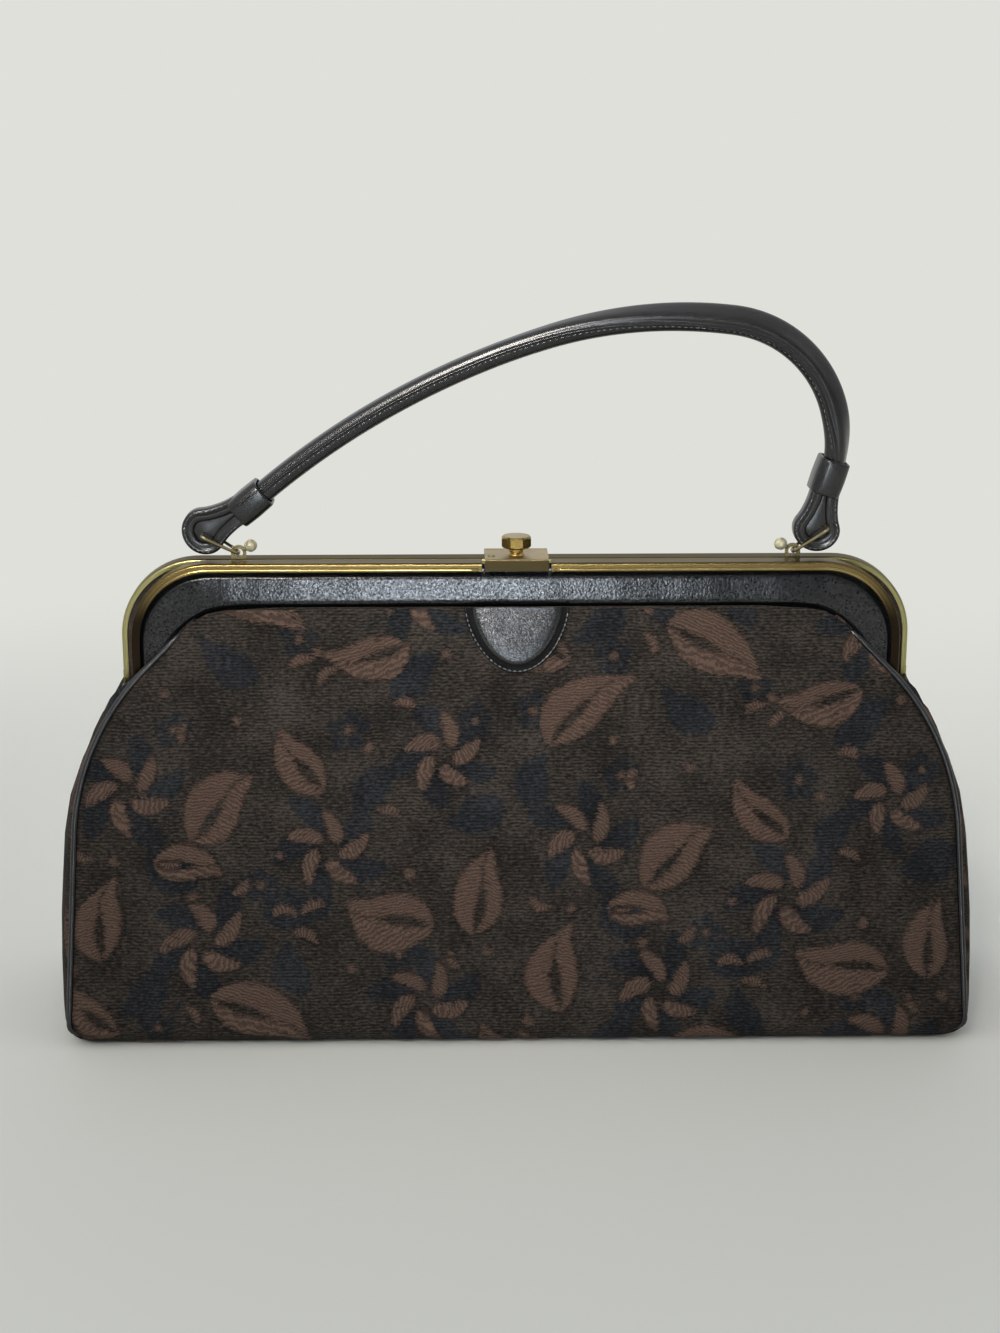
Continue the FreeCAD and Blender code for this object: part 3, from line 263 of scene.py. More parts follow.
# stamped and lacquered brass: pale gold, duller and browner where the lacquer has worn;
# graze is its tint seen at a flat angle, and brush lines are drawn coarser than real, so that they show
def gildedBrass(name, bright, worn, rough, brushedMm=None, paintedShade=None, edge=None, graze="#ffffff"):
    finish = {"wearMm": 14.0, "paintFacingFrom": 0.3, "paintFacingTo": 0.9, "lineStretch": 0.05, "lineDepthMm": 0.03}
    material, tree, shader = newMaterial(name, {"Metallic": 1.0, "Roughness": rough, "Specular Tint": graze})
    place = addNode(tree, "ShaderNodeTexCoord")
    wear = addNode(tree, "ShaderNodeTexNoise",
                   {"Scale": 1 / (finish["wearMm"] * mm), "Detail": 4.0, "Roughness": 0.55},
                   {"Vector": (place, "Object")})
    tone = addNode(tree, "ShaderNodeValToRGB", None, {"Fac": (wear, "Fac")})
    rampStops(tone, [(0.30, worn), (0.56, bright)])
    colour = (tone, "Color")
    # upright faces take the edge tone and faces turned up the main tone: light painted by which way a face
    # points, a painted highlight on the frame halves' upright faces and a painted shade on the clasp's
    # upright faces
    if edge:
        facing = addNode(tree, "ShaderNodeSeparateXYZ", None, {"Vector": (place, "Normal")})
        paintedByFacing = addNode(tree, "ShaderNodeMapRange",
                         {"From Min": finish["paintFacingFrom"], "From Max": finish["paintFacingTo"]},
                         {"Value": (facing, "Z")})
        mix = addNode(tree, "ShaderNodeMix", {"A": edge}, {"Factor": (paintedByFacing, "Result"), "B": colour},
                      data_type="RGBA")
        colour = (mix, "Result")
    # a frame leg is painted darker below a height: painted shade down the leg
    if paintedShade:
        height = addNode(tree, "ShaderNodeSeparateXYZ", None, {"Vector": (place, "Object")})
        unshaded = addNode(tree, "ShaderNodeMapRange",
                        {"From Min": paintedShade["low"] * mm, "From Max": paintedShade["high"] * mm},
                        {"Value": (height, "Z")}, interpolation_type="SMOOTHSTEP")
        mix = addNode(tree, "ShaderNodeMix", {"A": paintedShade["colour"]},
                      {"Factor": (unshaded, "Result"), "B": colour}, data_type="RGBA")
        colour = (mix, "Result")
    tree.links.new(colour[0].outputs[colour[1]], shader.inputs["Base Color"])
    if brushedMm:
        way = addNode(tree, "ShaderNodeMapping", {"Scale": (finish["lineStretch"], 1, 1)},
                      {"Vector": (place, "Object")})
        lines = addNode(tree, "ShaderNodeTexNoise", {"Scale": 1 / (brushedMm * mm), "Detail": 2.0},
                        {"Vector": (way, "Vector")})
        bump = addNode(tree, "ShaderNodeBump", {"Strength": 0.25, "Distance": finish["lineDepthMm"] * mm},
                       {"Height": (lines, "Fac")})
        tree.links.new(bump.outputs["Normal"], shader.inputs["Normal"])
    return material


# a plain material whose colour goes between two tones, in flecks or, with a stretch, in lines
def fleckedMaterial(name, sockets, fleckMm, detail, tones, stretch=(1, 1, 1), ragged=0.5, reliefMm=0):
    material, tree, shader = newMaterial(name, sockets)
    place = addNode(tree, "ShaderNodeTexCoord")
    way = addNode(tree, "ShaderNodeMapping", {"Scale": stretch}, {"Vector": (place, "Object")})
    flecks = addNode(tree, "ShaderNodeTexNoise",
                     {"Scale": 1 / (fleckMm * mm), "Detail": detail, "Roughness": ragged},
                     {"Vector": (way, "Vector")})
    tone = addNode(tree, "ShaderNodeValToRGB", None, {"Fac": (flecks, "Fac")})
    rampStops(tone, tones)
    tree.links.new(tone.outputs["Color"], shader.inputs["Base Color"])
    if reliefMm:
        bump = addNode(tree, "ShaderNodeBump", {"Strength": 0.3, "Distance": reliefMm * mm},
                       {"Height": (flecks, "Fac")})
        tree.links.new(bump.outputs["Normal"], shader.inputs["Normal"])
    return material


brocade = brocadeCloth()
# name, deep and light tone, grain in mm, roughness, shine, depth of the grain in mm, share that glints
frameLeather = grainLeather("calfBlack", "#0c0d0e", "#181a1c", 0.8, 0.16, 0.74, 0.055, 0.85)
tabLeather = grainLeather("calfTab", "#0c0d0e", "#1b1d1f", 0.68, 0.24, 1.0, 0.085, 0.6)
strapLeather = grainLeather("calfStrap", "#0a0a0a", "#141415", 1.0, 0.26, 0.65, 0.015, 0.2)
# pressed groove of the tab: rougher, duller leather, its darker tone painted shade in the groove
grooveShadeLeather = grainLeather("calfGrooveShade", "#060606", "#0d0d0e", 0.8, 0.7, 0.15, 0.05, 0.2)
pipingLeather = grainLeather("calfPiping", "#0b0b0c", "#171616", 0.6, 0.26, 0.6, 0.02, 0.2)
facingLeather = grainLeather("calfBrown", "#21170f", "#3a291d", 0.8, 0.5, 0.4, 0.08, 0.3)
# heights in mm between which the frame's legs go from painted shade to unshaded
legPaintedShade = {"low": 150.0, "high": 170.5, "colour": "#2b231a"}
brass = gildedBrass("brassFrame", "#86774e", "#74653f", 0.26)
# the frame halves' brass is set darker than the other brass: painted dark reflection on their faces
frontBrass = gildedBrass("brassFrontFrame", "#5f553c", "#524730", 0.26, paintedShade=legPaintedShade, edge="#7d6b43",
                         graze="#ece6da")
rearBrass = gildedBrass("brassRearFrame", "#5a5139", "#4e452f", 0.30, edge="#a09a6a", graze="#d8d3c7")
beadBrass = gildedBrass("brassBead", "#b3a06c", "#9a844f", 0.17, paintedShade=legPaintedShade)
knobBrass = gildedBrass("brassKnob", "#b39a5c", "#9c824a", 0.18)
# its edge tone is painted shade on the upright faces of the clasp pieces
satinBrass = gildedBrass("brassSatin", "#b8a57c", "#a69267", 0.38, brushedMm=0.5, edge="#463c27")
lugBrass = gildedBrass("brassLug", "#857a58", "#6b6144", 0.45)
wireBrass = gildedBrass("brassWire", "#a39672", "#7d7050", 0.3)
# cast bead, its plating worn through to a dull cream
plating = fleckedMaterial("wornPlating", {"Metallic": 0.2, "Roughness": 0.45}, 1.6, 3.0,
                          [(0.35, "#938b6c"), (0.62, "#c2bc9f")])
# tempered spring strip: blue-grey steel with a drawn grain, coarser than real so that it shows
steel = fleckedMaterial("springSteel", {"Metallic": 1.0, "Roughness": 0.34}, 0.6, 3.0,
                        [(0.3, "#7c8088"), (0.7, "#b4b8bd")], stretch=(0.06, 1, 1))
# acetate satin lining: smooth brown face with warp lines, coarser than real so that they show
lining = fleckedMaterial("liningSatin", {"Roughness": 0.5, "Sheen Weight": 0.25, "Sheen Roughness": 0.35,
                                         "Specular IOR Level": 0.4}, 0.7, 2.0,
                         [(0.3, "#3b2a22"), (0.7, "#5a4336")], stretch=(1, 1, 0.04), reliefMm=0.05)
# pressed fibreboard: dull grey-brown with specks
fibre = fleckedMaterial("fibreBoard", {"Roughness": 0.9, "Specular IOR Level": 0.2}, 1.8, 6.0,
                        [(0.3, "#6b5a48"), (0.7, "#8d7a63")], ragged=0.7)
# waxed linen thread: dark grey, shinier than the leather, so each stitch glints; its grey is set lighter, in
# part as painted highlight on each stitch, and its twist is drawn coarse
thread = fleckedMaterial("waxedThread", {"Roughness": 0.25, "Specular IOR Level": 0.8}, 0.4, 1.0,
                         [(0.3, "#3f4143"), (0.7, "#7b7d80")])
print("materials made")


# pouch places as in the solids, but the panel's top edge is 1.5 mm lower and its bottom corners are rounder

pouch = {"halfBase": 49.0, "slope": 0.25016, "stretch": 1.0308, "panelTop": 156.0, "round": 8.0,
         "sideFoot": 165.0, "sideLean": 0.0357, "shoulderX": 77.3, "shoulderZ": 73.5, "shoulderR": 85.0,
         "shoulderFrom": 76.5, "topRound": 17.0, "topX": 107.2, "topZ": 139.0, "corner": 10.0}
panelNormal = np.array([0, -1, pouch["slope"]]) / pouch["stretch"]


def depthAt(z):
    return pouch["halfBase"] - pouch["slope"] * z


# the wrap's outer half depth, with the round under the base's front edge
def roundDepth(z):
    r = pouch["round"]
    flatEnd = pouch["halfBase"] - r * (pouch["slope"] + pouch["stretch"])
    low = flatEnd + math.sqrt(max(r * r - (r - z) ** 2, 0))
    return low if z < r + r * pouch["slope"] / pouch["stretch"] else depthAt(z)


# half width of the piping's centre line at each height
def pipingX(z):
    z = np.asarray(z, float)
    p = pouch
    side = p["sideFoot"] - p["sideLean"] * z
    c = p["corner"]
    side = side - c + np.sqrt(np.maximum(c * c - np.clip(c - z, 0, c) ** 2, 0))
    bend = math.sqrt(0.5) * p["shoulderR"]
    arc = p["shoulderX"] + np.sqrt(np.maximum(p["shoulderR"] ** 2 - (z - p["shoulderZ"]) ** 2, 0))
    slant = p["shoulderX"] + bend - (z - p["shoulderZ"] - bend)
    x = np.where(z < p["shoulderFrom"], side, np.where(z < p["shoulderZ"] + bend, arc, slant))
    corner = p["topX"] + np.sqrt(np.maximum(p["topRound"] ** 2 - (z - p["topZ"]) ** 2, 0))
    return np.where(z > p["topZ"] + p["topRound"] * math.sqrt(0.5), np.minimum(x, corner), x)


# brocade figure: one drop repeat of leaves, pinwheel flowers, sprigs and dots, in mm

figure = {
    "repeat": (166.0, 152.0),
    "drop": 0.12,  # share of the repeat by which every other column drops
    "outside": -6.0,  # field far from every motif
    "pinwheels": [(24, 120, 17, 10), (97, 99, 17.5, 47), (52, 63, 17, 70), (133, 41, 17.5, 22),
                  (139, 132, 16, 52)],
    "leaves": [(58, 113, 38, 35, 18, 0.10), (14, 74, 97, 33, 17, -0.08), (72, 36, -32, 38, 20, 0.12),
               (119, 74, 158, 36, 19, 0.10), (24, 18, 52, 37, 18, -0.10), (152, 82, 78, 32, 16, 0.10),
               (110, 17, 196, 33, 16, -0.10), (88, 131, 128, 28, 14, 0.08), (44, 92, -20, 26, 13, 0.1),
               (160, 22, 120, 28, 14, 0.1), (8, 40, 150, 26, 13, -0.1)],
    "inkLeaves": [(38, 92, 130, 25, 14, 0.1), (84, 76, 20, 26, 14, -0.1), (8, 142, 70, 24, 13, 0.1),
                  (128, 8, 40, 26, 14, 0.1), (150, 110, 200, 25, 13, 0.1), (60, 14, 160, 26, 13, -0.1),
                  (116, 122, 40, 22, 12, 0.1), (30, 46, 210, 24, 12, 0.1), (84, 56, 100, 22, 12, 0.1)],
    "commas": [(80, 70, 6, 40, 150), (87, 63, 6, 20, 130), (92, 73, 6, 60, 165), (38, 98, 5, 200, 310),
               (118, 108, 5.5, 10, 120), (126, 101, 5.5, 340, 90), (48, 140, 5, 120, 230),
               (8, 102, 5.5, 190, 300), (60, 86, 5, 260, 370), (88, 12, 5.5, 60, 170), (98, 8, 5.5, 80, 190),
               (148, 58, 5, 150, 260), (6, 36, 5.5, 240, 350), (122, 146, 5, 20, 130), (44, 36, 5, 330, 440)],
    "dots": [(46, 80, 2.1), (112, 136, 2.0), (4, 54, 2.2), (92, 20, 2.0), (156, 60, 2.1), (64, 144, 2.0),
             (126, 88, 2.2), (36, 4, 2.0), (78, 96, 1.9), (140, 16, 2.1), (106, 56, 1.9), (18, 96, 2.0)],
    "sprigs": [(40, 142, 4.6), (104, 142, 4.8), (70, 84, 4.4), (156, 24, 4.8), (86, 24, 4.4), (6, 16, 4.6),
               (124, 60, 4.4), (150, 144, 4.4), (34, 34, 4.4)],
    "stems": [(24, 120, 44, 104, 60, 112), (97, 99, 104, 84, 118, 72), (52, 63, 66, 56, 70, 40),
              (133, 41, 120, 34, 108, 26), (52, 63, 34, 66, 14, 72), (133, 41, 146, 58, 150, 78),
              (139, 132, 150, 118, 150, 108), (26, 16, 40, 30, 52, 63)]}


# signed distance, positive inside, of a curled leaf with a slit along its midrib, and the way of its floats
def leafField(u, v, x, y, turn, length, width, curl, slit=True):
    a = math.radians(turn)
    s = (u - x) * math.cos(a) + (v - y) * math.sin(a) + length / 2
    t = -(u - x) * math.sin(a) + (v - y) * math.cos(a)
    part = np.clip(s / length, 0, 1)  # share of the way to the tip
    # the midrib curls and hooks at the tip, and one side is fuller than the other
    t = t - curl * length * (part ** 2 * 1.6 - 0.35)
    t = t + 0.10 * length * smoothStep(0.7, 1.0, part)
    half = width * np.where(t > 0, 0.66, 0.48) * np.sin(math.pi * part ** 0.74) ** 0.92
    field = np.where((s > 0) & (s < length), half - np.abs(t), -np.hypot(s - part * length, t))
    if slit:
        gap = 1.7 * np.sin(math.pi * np.clip((part - 0.04) / 0.56, 0, 1)) - 0.15
        field = np.minimum(field, np.abs(t + 0.8 - 2.4 * part) - gap)
    return field, (v - y) * 0.85 + s * 0.25 + np.abs(t) * 0.3


# five petals that sweep round a flower's middle
def petalField(u, v, x, y, turn, inner, outer, half, swirl):
    r = np.hypot(u - x, v - y)
    way = np.arctan2(v - y, u - x) - math.radians(turn) - swirl * (r / outer) ** 1.3
    way = (way + math.pi / 5) % (2 * math.pi / 5) - math.pi / 5
    part = np.clip((r - inner) / (outer - inner), 0, 1)
    body = half * np.sin(math.pi * np.clip(part * 0.93 + 0.05, 0, 1)) ** 0.6
    beyond = -np.abs(r - np.clip(r, inner, outer)) - 0.2
    field = np.where((r > inner) & (r < outer), body - np.abs(way) * r, beyond)
    return field, r * 0.8 + (v - y) * 0.4


# short curved stroke with pointed ends
def commaField(u, v, x, y, radius, start, end):
    r = np.hypot(u - x, v - y)
    way = np.degrees(np.arctan2(v - y, u - x))
    part = ((way - start) % 360) / (end - start)
    half = 1.9 * np.sin(math.pi * np.clip(part, 0, 1)) ** 0.55
    return np.where(part < 1, half - np.abs(r - radius), -2.0), np.radians(way - start) * radius


# thin bent stem, as the nearest of a row of points along it
def stemField(u, v, x0, y0, x1, y1, x2, y2):
    best = np.full(u.shape, 99.0)
    for t in np.linspace(0.12, 0.9, 30):
        px = (1 - t) ** 2 * x0 + 2 * t * (1 - t) * x1 + t * t * x2
        py = (1 - t) ** 2 * y0 + 2 * t * (1 - t) * y1 + t * t * y2
        best = np.minimum(best, np.hypot(u - px, v - py))
    return 0.75 - best


# brown field, ink field and float coordinate over flat cloth points
def drawFigure(u, v):
    brown = np.full(u.shape, figure["outside"])
    ink = np.full(u.shape, figure["outside"])
    floats = v * 0.9 + u * 0.35
    # the weaver's card wanders, so no two motifs are quite alike
    u, v = (u + 1.3 * np.sin(v / 11 + 1.3) + 0.9 * np.sin(u / 17 + v / 23),
            v + 1.2 * np.sin(u / 13 + 0.4) + 0.8 * np.sin(u / 29 - v / 9))

    def lay(target, field, floatWay, near):
        nonlocal brown, ink, floats
        if target == "brown":
            better = (field > brown[near]) & (field > -0.6)
            part = floats[near]
            part[better] = floatWay[better]
            floats[near] = part
            brown[near] = np.maximum(brown[near], field)
        else:
            ink[near] = np.maximum(ink[near], field)

    def close(x, y, reach):
        return (np.abs(u - x) < reach) & (np.abs(v - y) < reach)

    wide, high = figure["repeat"]
    columns = range(int(u.min() // wide) - 1, int(u.max() // wide) + 2)
    rows = range(int(v.min() // high) - 1, int(v.max() // high) + 2)
    for column in columns:
        for row in rows:
            ox = column * wide
            oy = row * high + (column % 2) * high * figure["drop"]
            for x, y, radius, turn in figure["pinwheels"]:
                near = close(x + ox, y + oy, radius * 1.3)
                if near.any():
                    place = (u[near], v[near], x + ox, y + oy)
                    lay("ink", *petalField(*place, turn + 36, radius * 0.28, radius * 1.30, 6.0, 0.7), near)
                    lay("brown", *petalField(*place, turn, radius * 0.22, radius * 0.92, 3.7, 0.8), near)
            for kind, target in (("leaves", "brown"), ("inkLeaves", "ink")):
                for x, y, turn, length, width, curl in figure[kind]:
                    near = close(x + ox, y + oy, length * 0.75)
                    if near.any():
                        lay(target, *leafField(u[near], v[near], x + ox, y + oy, turn, length, width, curl,
                                               target == "brown"), near)
            for x, y, radius, start, end in figure["commas"]:
                near = close(x + ox, y + oy, radius + 4)
                if near.any():
                    lay("brown", *commaField(u[near], v[near], x + ox, y + oy, radius, start, end), near)
            for x, y, radius in figure["dots"]:
                near = close(x + ox, y + oy, radius + 2)
                if near.any():
                    gap = radius - np.hypot(u[near] - x - ox, v[near] - y - oy)
                    lay("brown", gap, gap * 2, near)
            for x, y, radius in figure["sprigs"]:
                near = close(x + ox, y + oy, radius * 2.2)
                if near.any():
                    du, dv = u[near] - x - ox, v[near] - y - oy
                    for k in range(5):
                        a = 0.3 + k * 2 * math.pi / 5
                        petal = radius * 0.66 - np.hypot(du - radius * math.cos(a), dv - radius * math.sin(a))
                        lay("ink", petal, petal, near)
                    heart = radius * 0.36 - np.hypot(du, dv)
                    lay("brown", heart, heart * 2, near)
            for stem in figure["stems"]:
                x0, y0, x1, y1, x2, y2 = stem
                near = close((x0 + x2) / 2 + ox, (y0 + y2) / 2 + oy, 32)
                if near.any():
                    field = stemField(u[near] - ox, v[near] - oy, *stem)
                    lay("ink", field, field, near)
    return brown, ink, floats


def dressBrocade(piece, u, v, brown, ink, floats):
    storePoints(piece, "clothMm", np.stack([u, v, np.zeros_like(u)], axis=-1))
    storePoints(piece, "brownField", brown)
    storePoints(piece, "inkField", ink)
    storePoints(piece, "floatMm", floats)


# raised motifs and the hollow that the weave pulls round them, mm
def figureRelief(brown, ink):
    raised = 0.55 * smoothStep(-0.5, 1.3, brown) + 0.38 * smoothStep(-0.5, 1.6, ink) * (brown < 0.2)
    return raised - 0.22 * np.exp(-(np.maximum(brown, ink) + 0.6) ** 2 / 0.5)


# brocade wrap, two halves that meet under the base

wrap = {"columns": 321, "baseStep": 3.2, "roundStep": 1.1, "panelStep": 1.1, "edgeIn": 0.35, "edgeDip": 1.3,
        "edgeSpan": 165.0, "edgeFlat": 4.0, "edgeRound": 3.2, "seamFade": (142.0, 152.0),
        "baseFlat": 0.3, "baseFade": 3.0, "foldRadius": 1.0, "foldStep": 0.6, "turnIn": 7.0, "hem": 10.0,
        "cutWidth": 0.332, "edgeReturn": 0.15, "cornerTurn": 1.9, "cornerSpan": (143.0, 151.0),
        "puffMm": 3.0, "coarseSteps": (9.0, 4.0, 6.91), "coarseColumns": 54, "frames": 24,
        "blendLow": 104.0, "blendHigh": 150.0,
        "swell": {"quality": 6, "mass": 0.3, "tension_stiffness": 25, "compression_stiffness": 25,
                  "shear_stiffness": 10, "bending_stiffness": 4, "vertex_group_mass": "pins",
                  "use_pressure": True, "uniform_pressure_force": 3.0}}


# outer profile as (run along the cloth, y, z, outward y, outward z), front side
def wrapProfile(baseStep, roundStep, panelStep):
    p = pouch
    flatEnd = p["halfBase"] - p["round"] * (p["slope"] + p["stretch"])
    turn = math.pi / 2 + math.atan(p["slope"])
    rows = []
    for y in np.linspace(0, flatEnd, max(2, round(flatEnd / baseStep)), endpoint=False):
        rows.append((y, -y, 0, 0, -1))
    arcLength = p["round"] * turn
    for a in np.linspace(0, turn, max(3, round(arcLength / roundStep)), endpoint=False):
        ny, nz = -math.sin(a), -math.cos(a)
        rows.append((flatEnd + p["round"] * a, -flatEnd + p["round"] * ny, p["round"] + p["round"] * nz,
                     ny, nz))
    startZ = p["round"] + p["round"] * p["slope"] / p["stretch"]
    run = (p["panelTop"] - startZ) * p["stretch"]
    for d in np.linspace(0, run, max(4, round(run / panelStep))):
        z = startZ + d / p["stretch"]
        rows.append((flatEnd + arcLength + d, -depthAt(z), z, panelNormal[1], panelNormal[2]))
    return np.array(rows)


def wrapGrid(rows, columns):
    across = np.linspace(-1, 1, columns)
    across = across * (1.06 - 0.06 * across ** 2)  # a little closer together at the edges
    half = pipingX(np.clip(rows[:, 2], 0, pouch["panelTop"])) - wrap["edgeIn"]
    x = across[None, :] * half[:, None]
    points = np.stack([x, np.repeat(rows[:, 1:2], columns, 1), np.repeat(rows[:, 2:3], columns, 1)], axis=-1)
    normals = np.zeros_like(points)
    normals[..., 1] = rows[:, 3:4]
    normals[..., 2] = rows[:, 4:5]
    return points, normals, x, np.repeat(rows[:, 0:1], columns, 1)


# the taut panel swells a little between its seams: a coarse cloth, pinned all round, under light pressure
def panelSwell():
    rows = wrapProfile(*wrap["coarseSteps"])
    points, normals = wrapGrid(rows, wrap["coarseColumns"])[:2]
    count, columns = points.shape[:2]
    sheet = meshPiece("swellCloth", points.reshape(-1, 3), gridFaces(count, columns), brocade)
    pins = sheet.vertex_groups.new(name="pins")
    index = np.arange(count * columns).reshape(count, columns)
    held = set(index[0]) | set(index[-1]) | set(index[:, 0]) | set(index[:, -1])
    # the flat base is held too
    for row, z in enumerate(rows[:, 2]):
        if z < 0.5:
            held |= set(index[row])
    pins.add([int(i) for i in held], 1.0, "REPLACE")
    cloth = sheet.modifiers.new("swell", "CLOTH")
    for setting, value in wrap["swell"].items():
        setattr(cloth.settings, setting, value)
    cloth.settings.effector_weights.gravity = 0
    cloth.point_cache.frame_start, cloth.point_cache.frame_end = 1, wrap["frames"]
    for number in range(1, wrap["frames"] + 1):
        bpy.context.scene.frame_set(number)
    solved = sheet.evaluated_get(bpy.context.evaluated_depsgraph_get()).data
    moved = np.zeros(count * columns * 3)
    solved.vertices.foreach_get("co", moved)
    lift = ((moved.reshape(count, columns, 3) / mm - points) * normals).sum(-1)
    bpy.context.scene.frame_set(1)
    bpy.data.objects.remove(sheet)
    lift = np.abs(lift)
    print("panel swell, mm:", round(float(lift.max()), 2))
    return rows[:, 0], lift * (wrap["puffMm"] / max(lift.max(), 1e-6))


# the coarse swell over the fine grid
def spread(runs, lift, fineRuns, columns):
    grid = np.array([np.interp(fineRuns, runs, lift[:, c]) for c in range(lift.shape[1])]).T
    across = np.linspace(0, 1, lift.shape[1])
    return np.array([np.interp(np.linspace(0, 1, columns), across, row) for row in grid])


swellRuns, swellLift = panelSwell()


def wrapHalf(name, side):
    count = wrap["columns"]
    rows = wrapProfile(wrap["baseStep"], wrap["roundStep"], wrap["panelStep"])
    heights = rows[:, 2:3]
    points, normals, u, flatV = wrapGrid(rows, count)
    # the back carries on the figure upside down, half a repeat across
    if side > 0:
        u = -u + figure["repeat"][0] * 0.5
        flatV = -flatV
    brown, ink, floats = [field.reshape(u.shape) for field in drawFigure(u.ravel(), flatV.ravel())]
    lift = figureRelief(brown, ink) + spread(swellRuns, swellLift, rows[:, 0], count)
    fromMiddle = np.abs(np.linspace(-1, 1, count))
    toEdge = (1 - fromMiddle)[None, :] * wrap["edgeSpan"]
    # the seam pulls the edge in, less and less towards the free top corners
    seamPull = wrap["edgeDip"] * (1 - smoothStep(*wrap["seamFade"], heights))
    lift = lift * smoothStep(0, wrap["edgeFlat"], toEdge)
    lift = lift - seamPull * (1 - smoothStep(0, wrap["edgeRound"], toEdge))
    lift = np.where(heights < wrap["baseFlat"], 0, lift * smoothStep(0, wrap["baseFade"], heights))
    points = points + normals * lift[..., None]
    # turned top edge: over the board's thickness and down inside
    r = wrap["foldRadius"]
    top, topNormal = points[-1], normals[-1]
    up = np.array([0, pouch["slope"], 1]) / pouch["stretch"]
    # the fold flattens towards the corners, so that the top edge runs on into the round
    rise = r * (1 - 0.9 * smoothStep(0.80, 1.0, fromMiddle))[:, None]
    fold = [top - topNormal * r * (1 - math.cos(a)) + up * rise * math.sin(a)
            for a in np.radians([30, 60, 90, 120, 150, 180])]
    fold.append(fold[-1] - up * wrap["turnIn"])
    points = np.concatenate([points, np.array(fold)])
    extra = len(fold)
    u = np.concatenate([u, np.repeat(u[-1:], extra, 0)])
    foldRuns = np.sign(flatV[-1, 0]) * np.arange(1, extra + 1)[:, None] * wrap["foldStep"]
    flatV = np.concatenate([flatV, flatV[-1:] + foldRuns])
    plain = np.full((extra, count), figure["outside"])
    brown, ink = [np.concatenate([field, plain]) for field in (brown, ink)]
    floats = np.concatenate([floats, np.zeros((extra, count))])
    # at the free top corners the side edge turns back over the board as well
    turn = wrap["edgeReturn"] + wrap["cornerTurn"] * smoothStep(*wrap["cornerSpan"], rows[:, 2])
    turn = np.concatenate([turn, np.full(extra, wrap["edgeReturn"])])
    backs = points[:, [0, -1]] - topNormal[0] * turn[:, None, None]
    points = np.concatenate([backs[:, :1], points, backs[:, 1:]], axis=1)
    u, flatV, brown, ink, floats = [np.pad(values, ((0, 0), (1, 1)), mode="edge").ravel()
                                    for values in (u, flatV, brown, ink, floats)]
    points[..., 1] *= -side
    piece = meshPiece(name, points.reshape(-1, 3),
                      gridFaces(len(points), points.shape[1], flip=side > 0), brocade)
    dressBrocade(piece, u, flatV, brown, ink, floats)
    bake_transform(piece)
    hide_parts("body_wrap")


wrapHalf("wrapFront", -1)
wrapHalf("wrapBack", 1)
print("brocade wrap made")


# gussets: a quarter runs from each panel's edge to the side's middle, then up the shoulder to the frame

gusset = {"columns": 30, "foot": [0.4, 1.2, 2.4, 4], "from": 6.0, "step": 2.0, "top": 152.0,
          "seamIn": 0.2, "seamBack": 0.9, "hinge": 116.0, "swell": 2.6, "swellSpan": (100.0, 124.0),
          "crease": 0.5, "creaseSpan": (30.0, 110.0), "figureStart": 30.0, "figureShift": 20.0,
          "middle": [(0, 157.0), (1, 160.5), (3, 164.0), (6, 167.0), (10, 169.0), (15, 170.0), (30, 170.8),
                     (45, 170.8), (58, 170.0), (72, 168.8), (86, 166.0), (100, 160.8), (110, 155.4),
                     (117, 150.5)],
          # inner edge beside the hinge and up the frame leather: panel height, x, y, z
          "tuck": [(116, 150.6, 0.0, 116.6), (119, 148.4, -1.5, 118.8), (121.5, 147.0, -4.5, 121.4),
                   (124, 145.4, -7.6, 124.0), (126.5, 142.4, -8.8, 126.4), (129, 138.4, -8.4, 128.8),
                   (132, 134.0, -7.3, 131.4), (142, 123.0, -7.3, 140.5), (152, 113.0, -7.3, 150.0)]}


def gussetQuarter(name, side, hand):
    heights = np.concatenate([gusset["foot"], np.arange(gusset["from"], gusset["top"] + 0.1, gusset["step"])])
    middle, tuck = np.array(gusset["middle"]), np.array(gusset["tuck"])
    share = np.linspace(0, 1, gusset["columns"]) ** 1.5
    # round shoulders near the seam, nearly flat across the middle
    bulge = np.sin(share * math.pi / 2) ** 0.40
    points = []
    for z in heights:
        low = z <= gusset["hinge"]
        outer = np.array([float(pipingX(z)) - gusset["seamIn"], -(roundDepth(z) - gusset["seamBack"]), z])
        if low:
            inner = np.array([np.interp(z, middle[:, 0], middle[:, 1]), 0.0, z])
        else:
            inner = np.array([np.interp(z, tuck[:, 0], tuck[:, k]) for k in (1, 2, 3)])
        line = outer + (inner - outer) * share[:, None]
        line[:, 0] = outer[0] + (inner[0] - outer[0]) * (bulge if low else share)
        swell = gusset["swell"] * np.sin(share * math.pi) * smoothStep(*gusset["swellSpan"], z)
        line += swell[:, None] * np.array([0.7, 0, 0.7])
        # soft upright creases that deepen towards the hinge
        deep = gusset["crease"] * smoothStep(*gusset["creaseSpan"], z) * low
        line[:, 0] += deep * np.sin(share * 9.0 + z * 0.03) * np.sin(share * math.pi / 2)
        points.append(line)
    runs = np.array([runsAlong(line) for line in points])
    points = np.array(points) * [hand, -side, 1]
    u = (runs + gusset["figureStart"] + gusset["figureShift"] * side) * hand
    v = np.repeat(heights[:, None] * pouch["stretch"], gusset["columns"], 1)
    piece = meshPiece(name, points.reshape(-1, 3),
                      gridFaces(len(points), gusset["columns"], flip=side * hand > 0), brocade)
    dressBrocade(piece, u.ravel(), v.ravel(), *drawFigure(u.ravel(), v.ravel()))
    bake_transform(piece)
    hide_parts("gusset_left" if hand < 0 else "gusset_right")


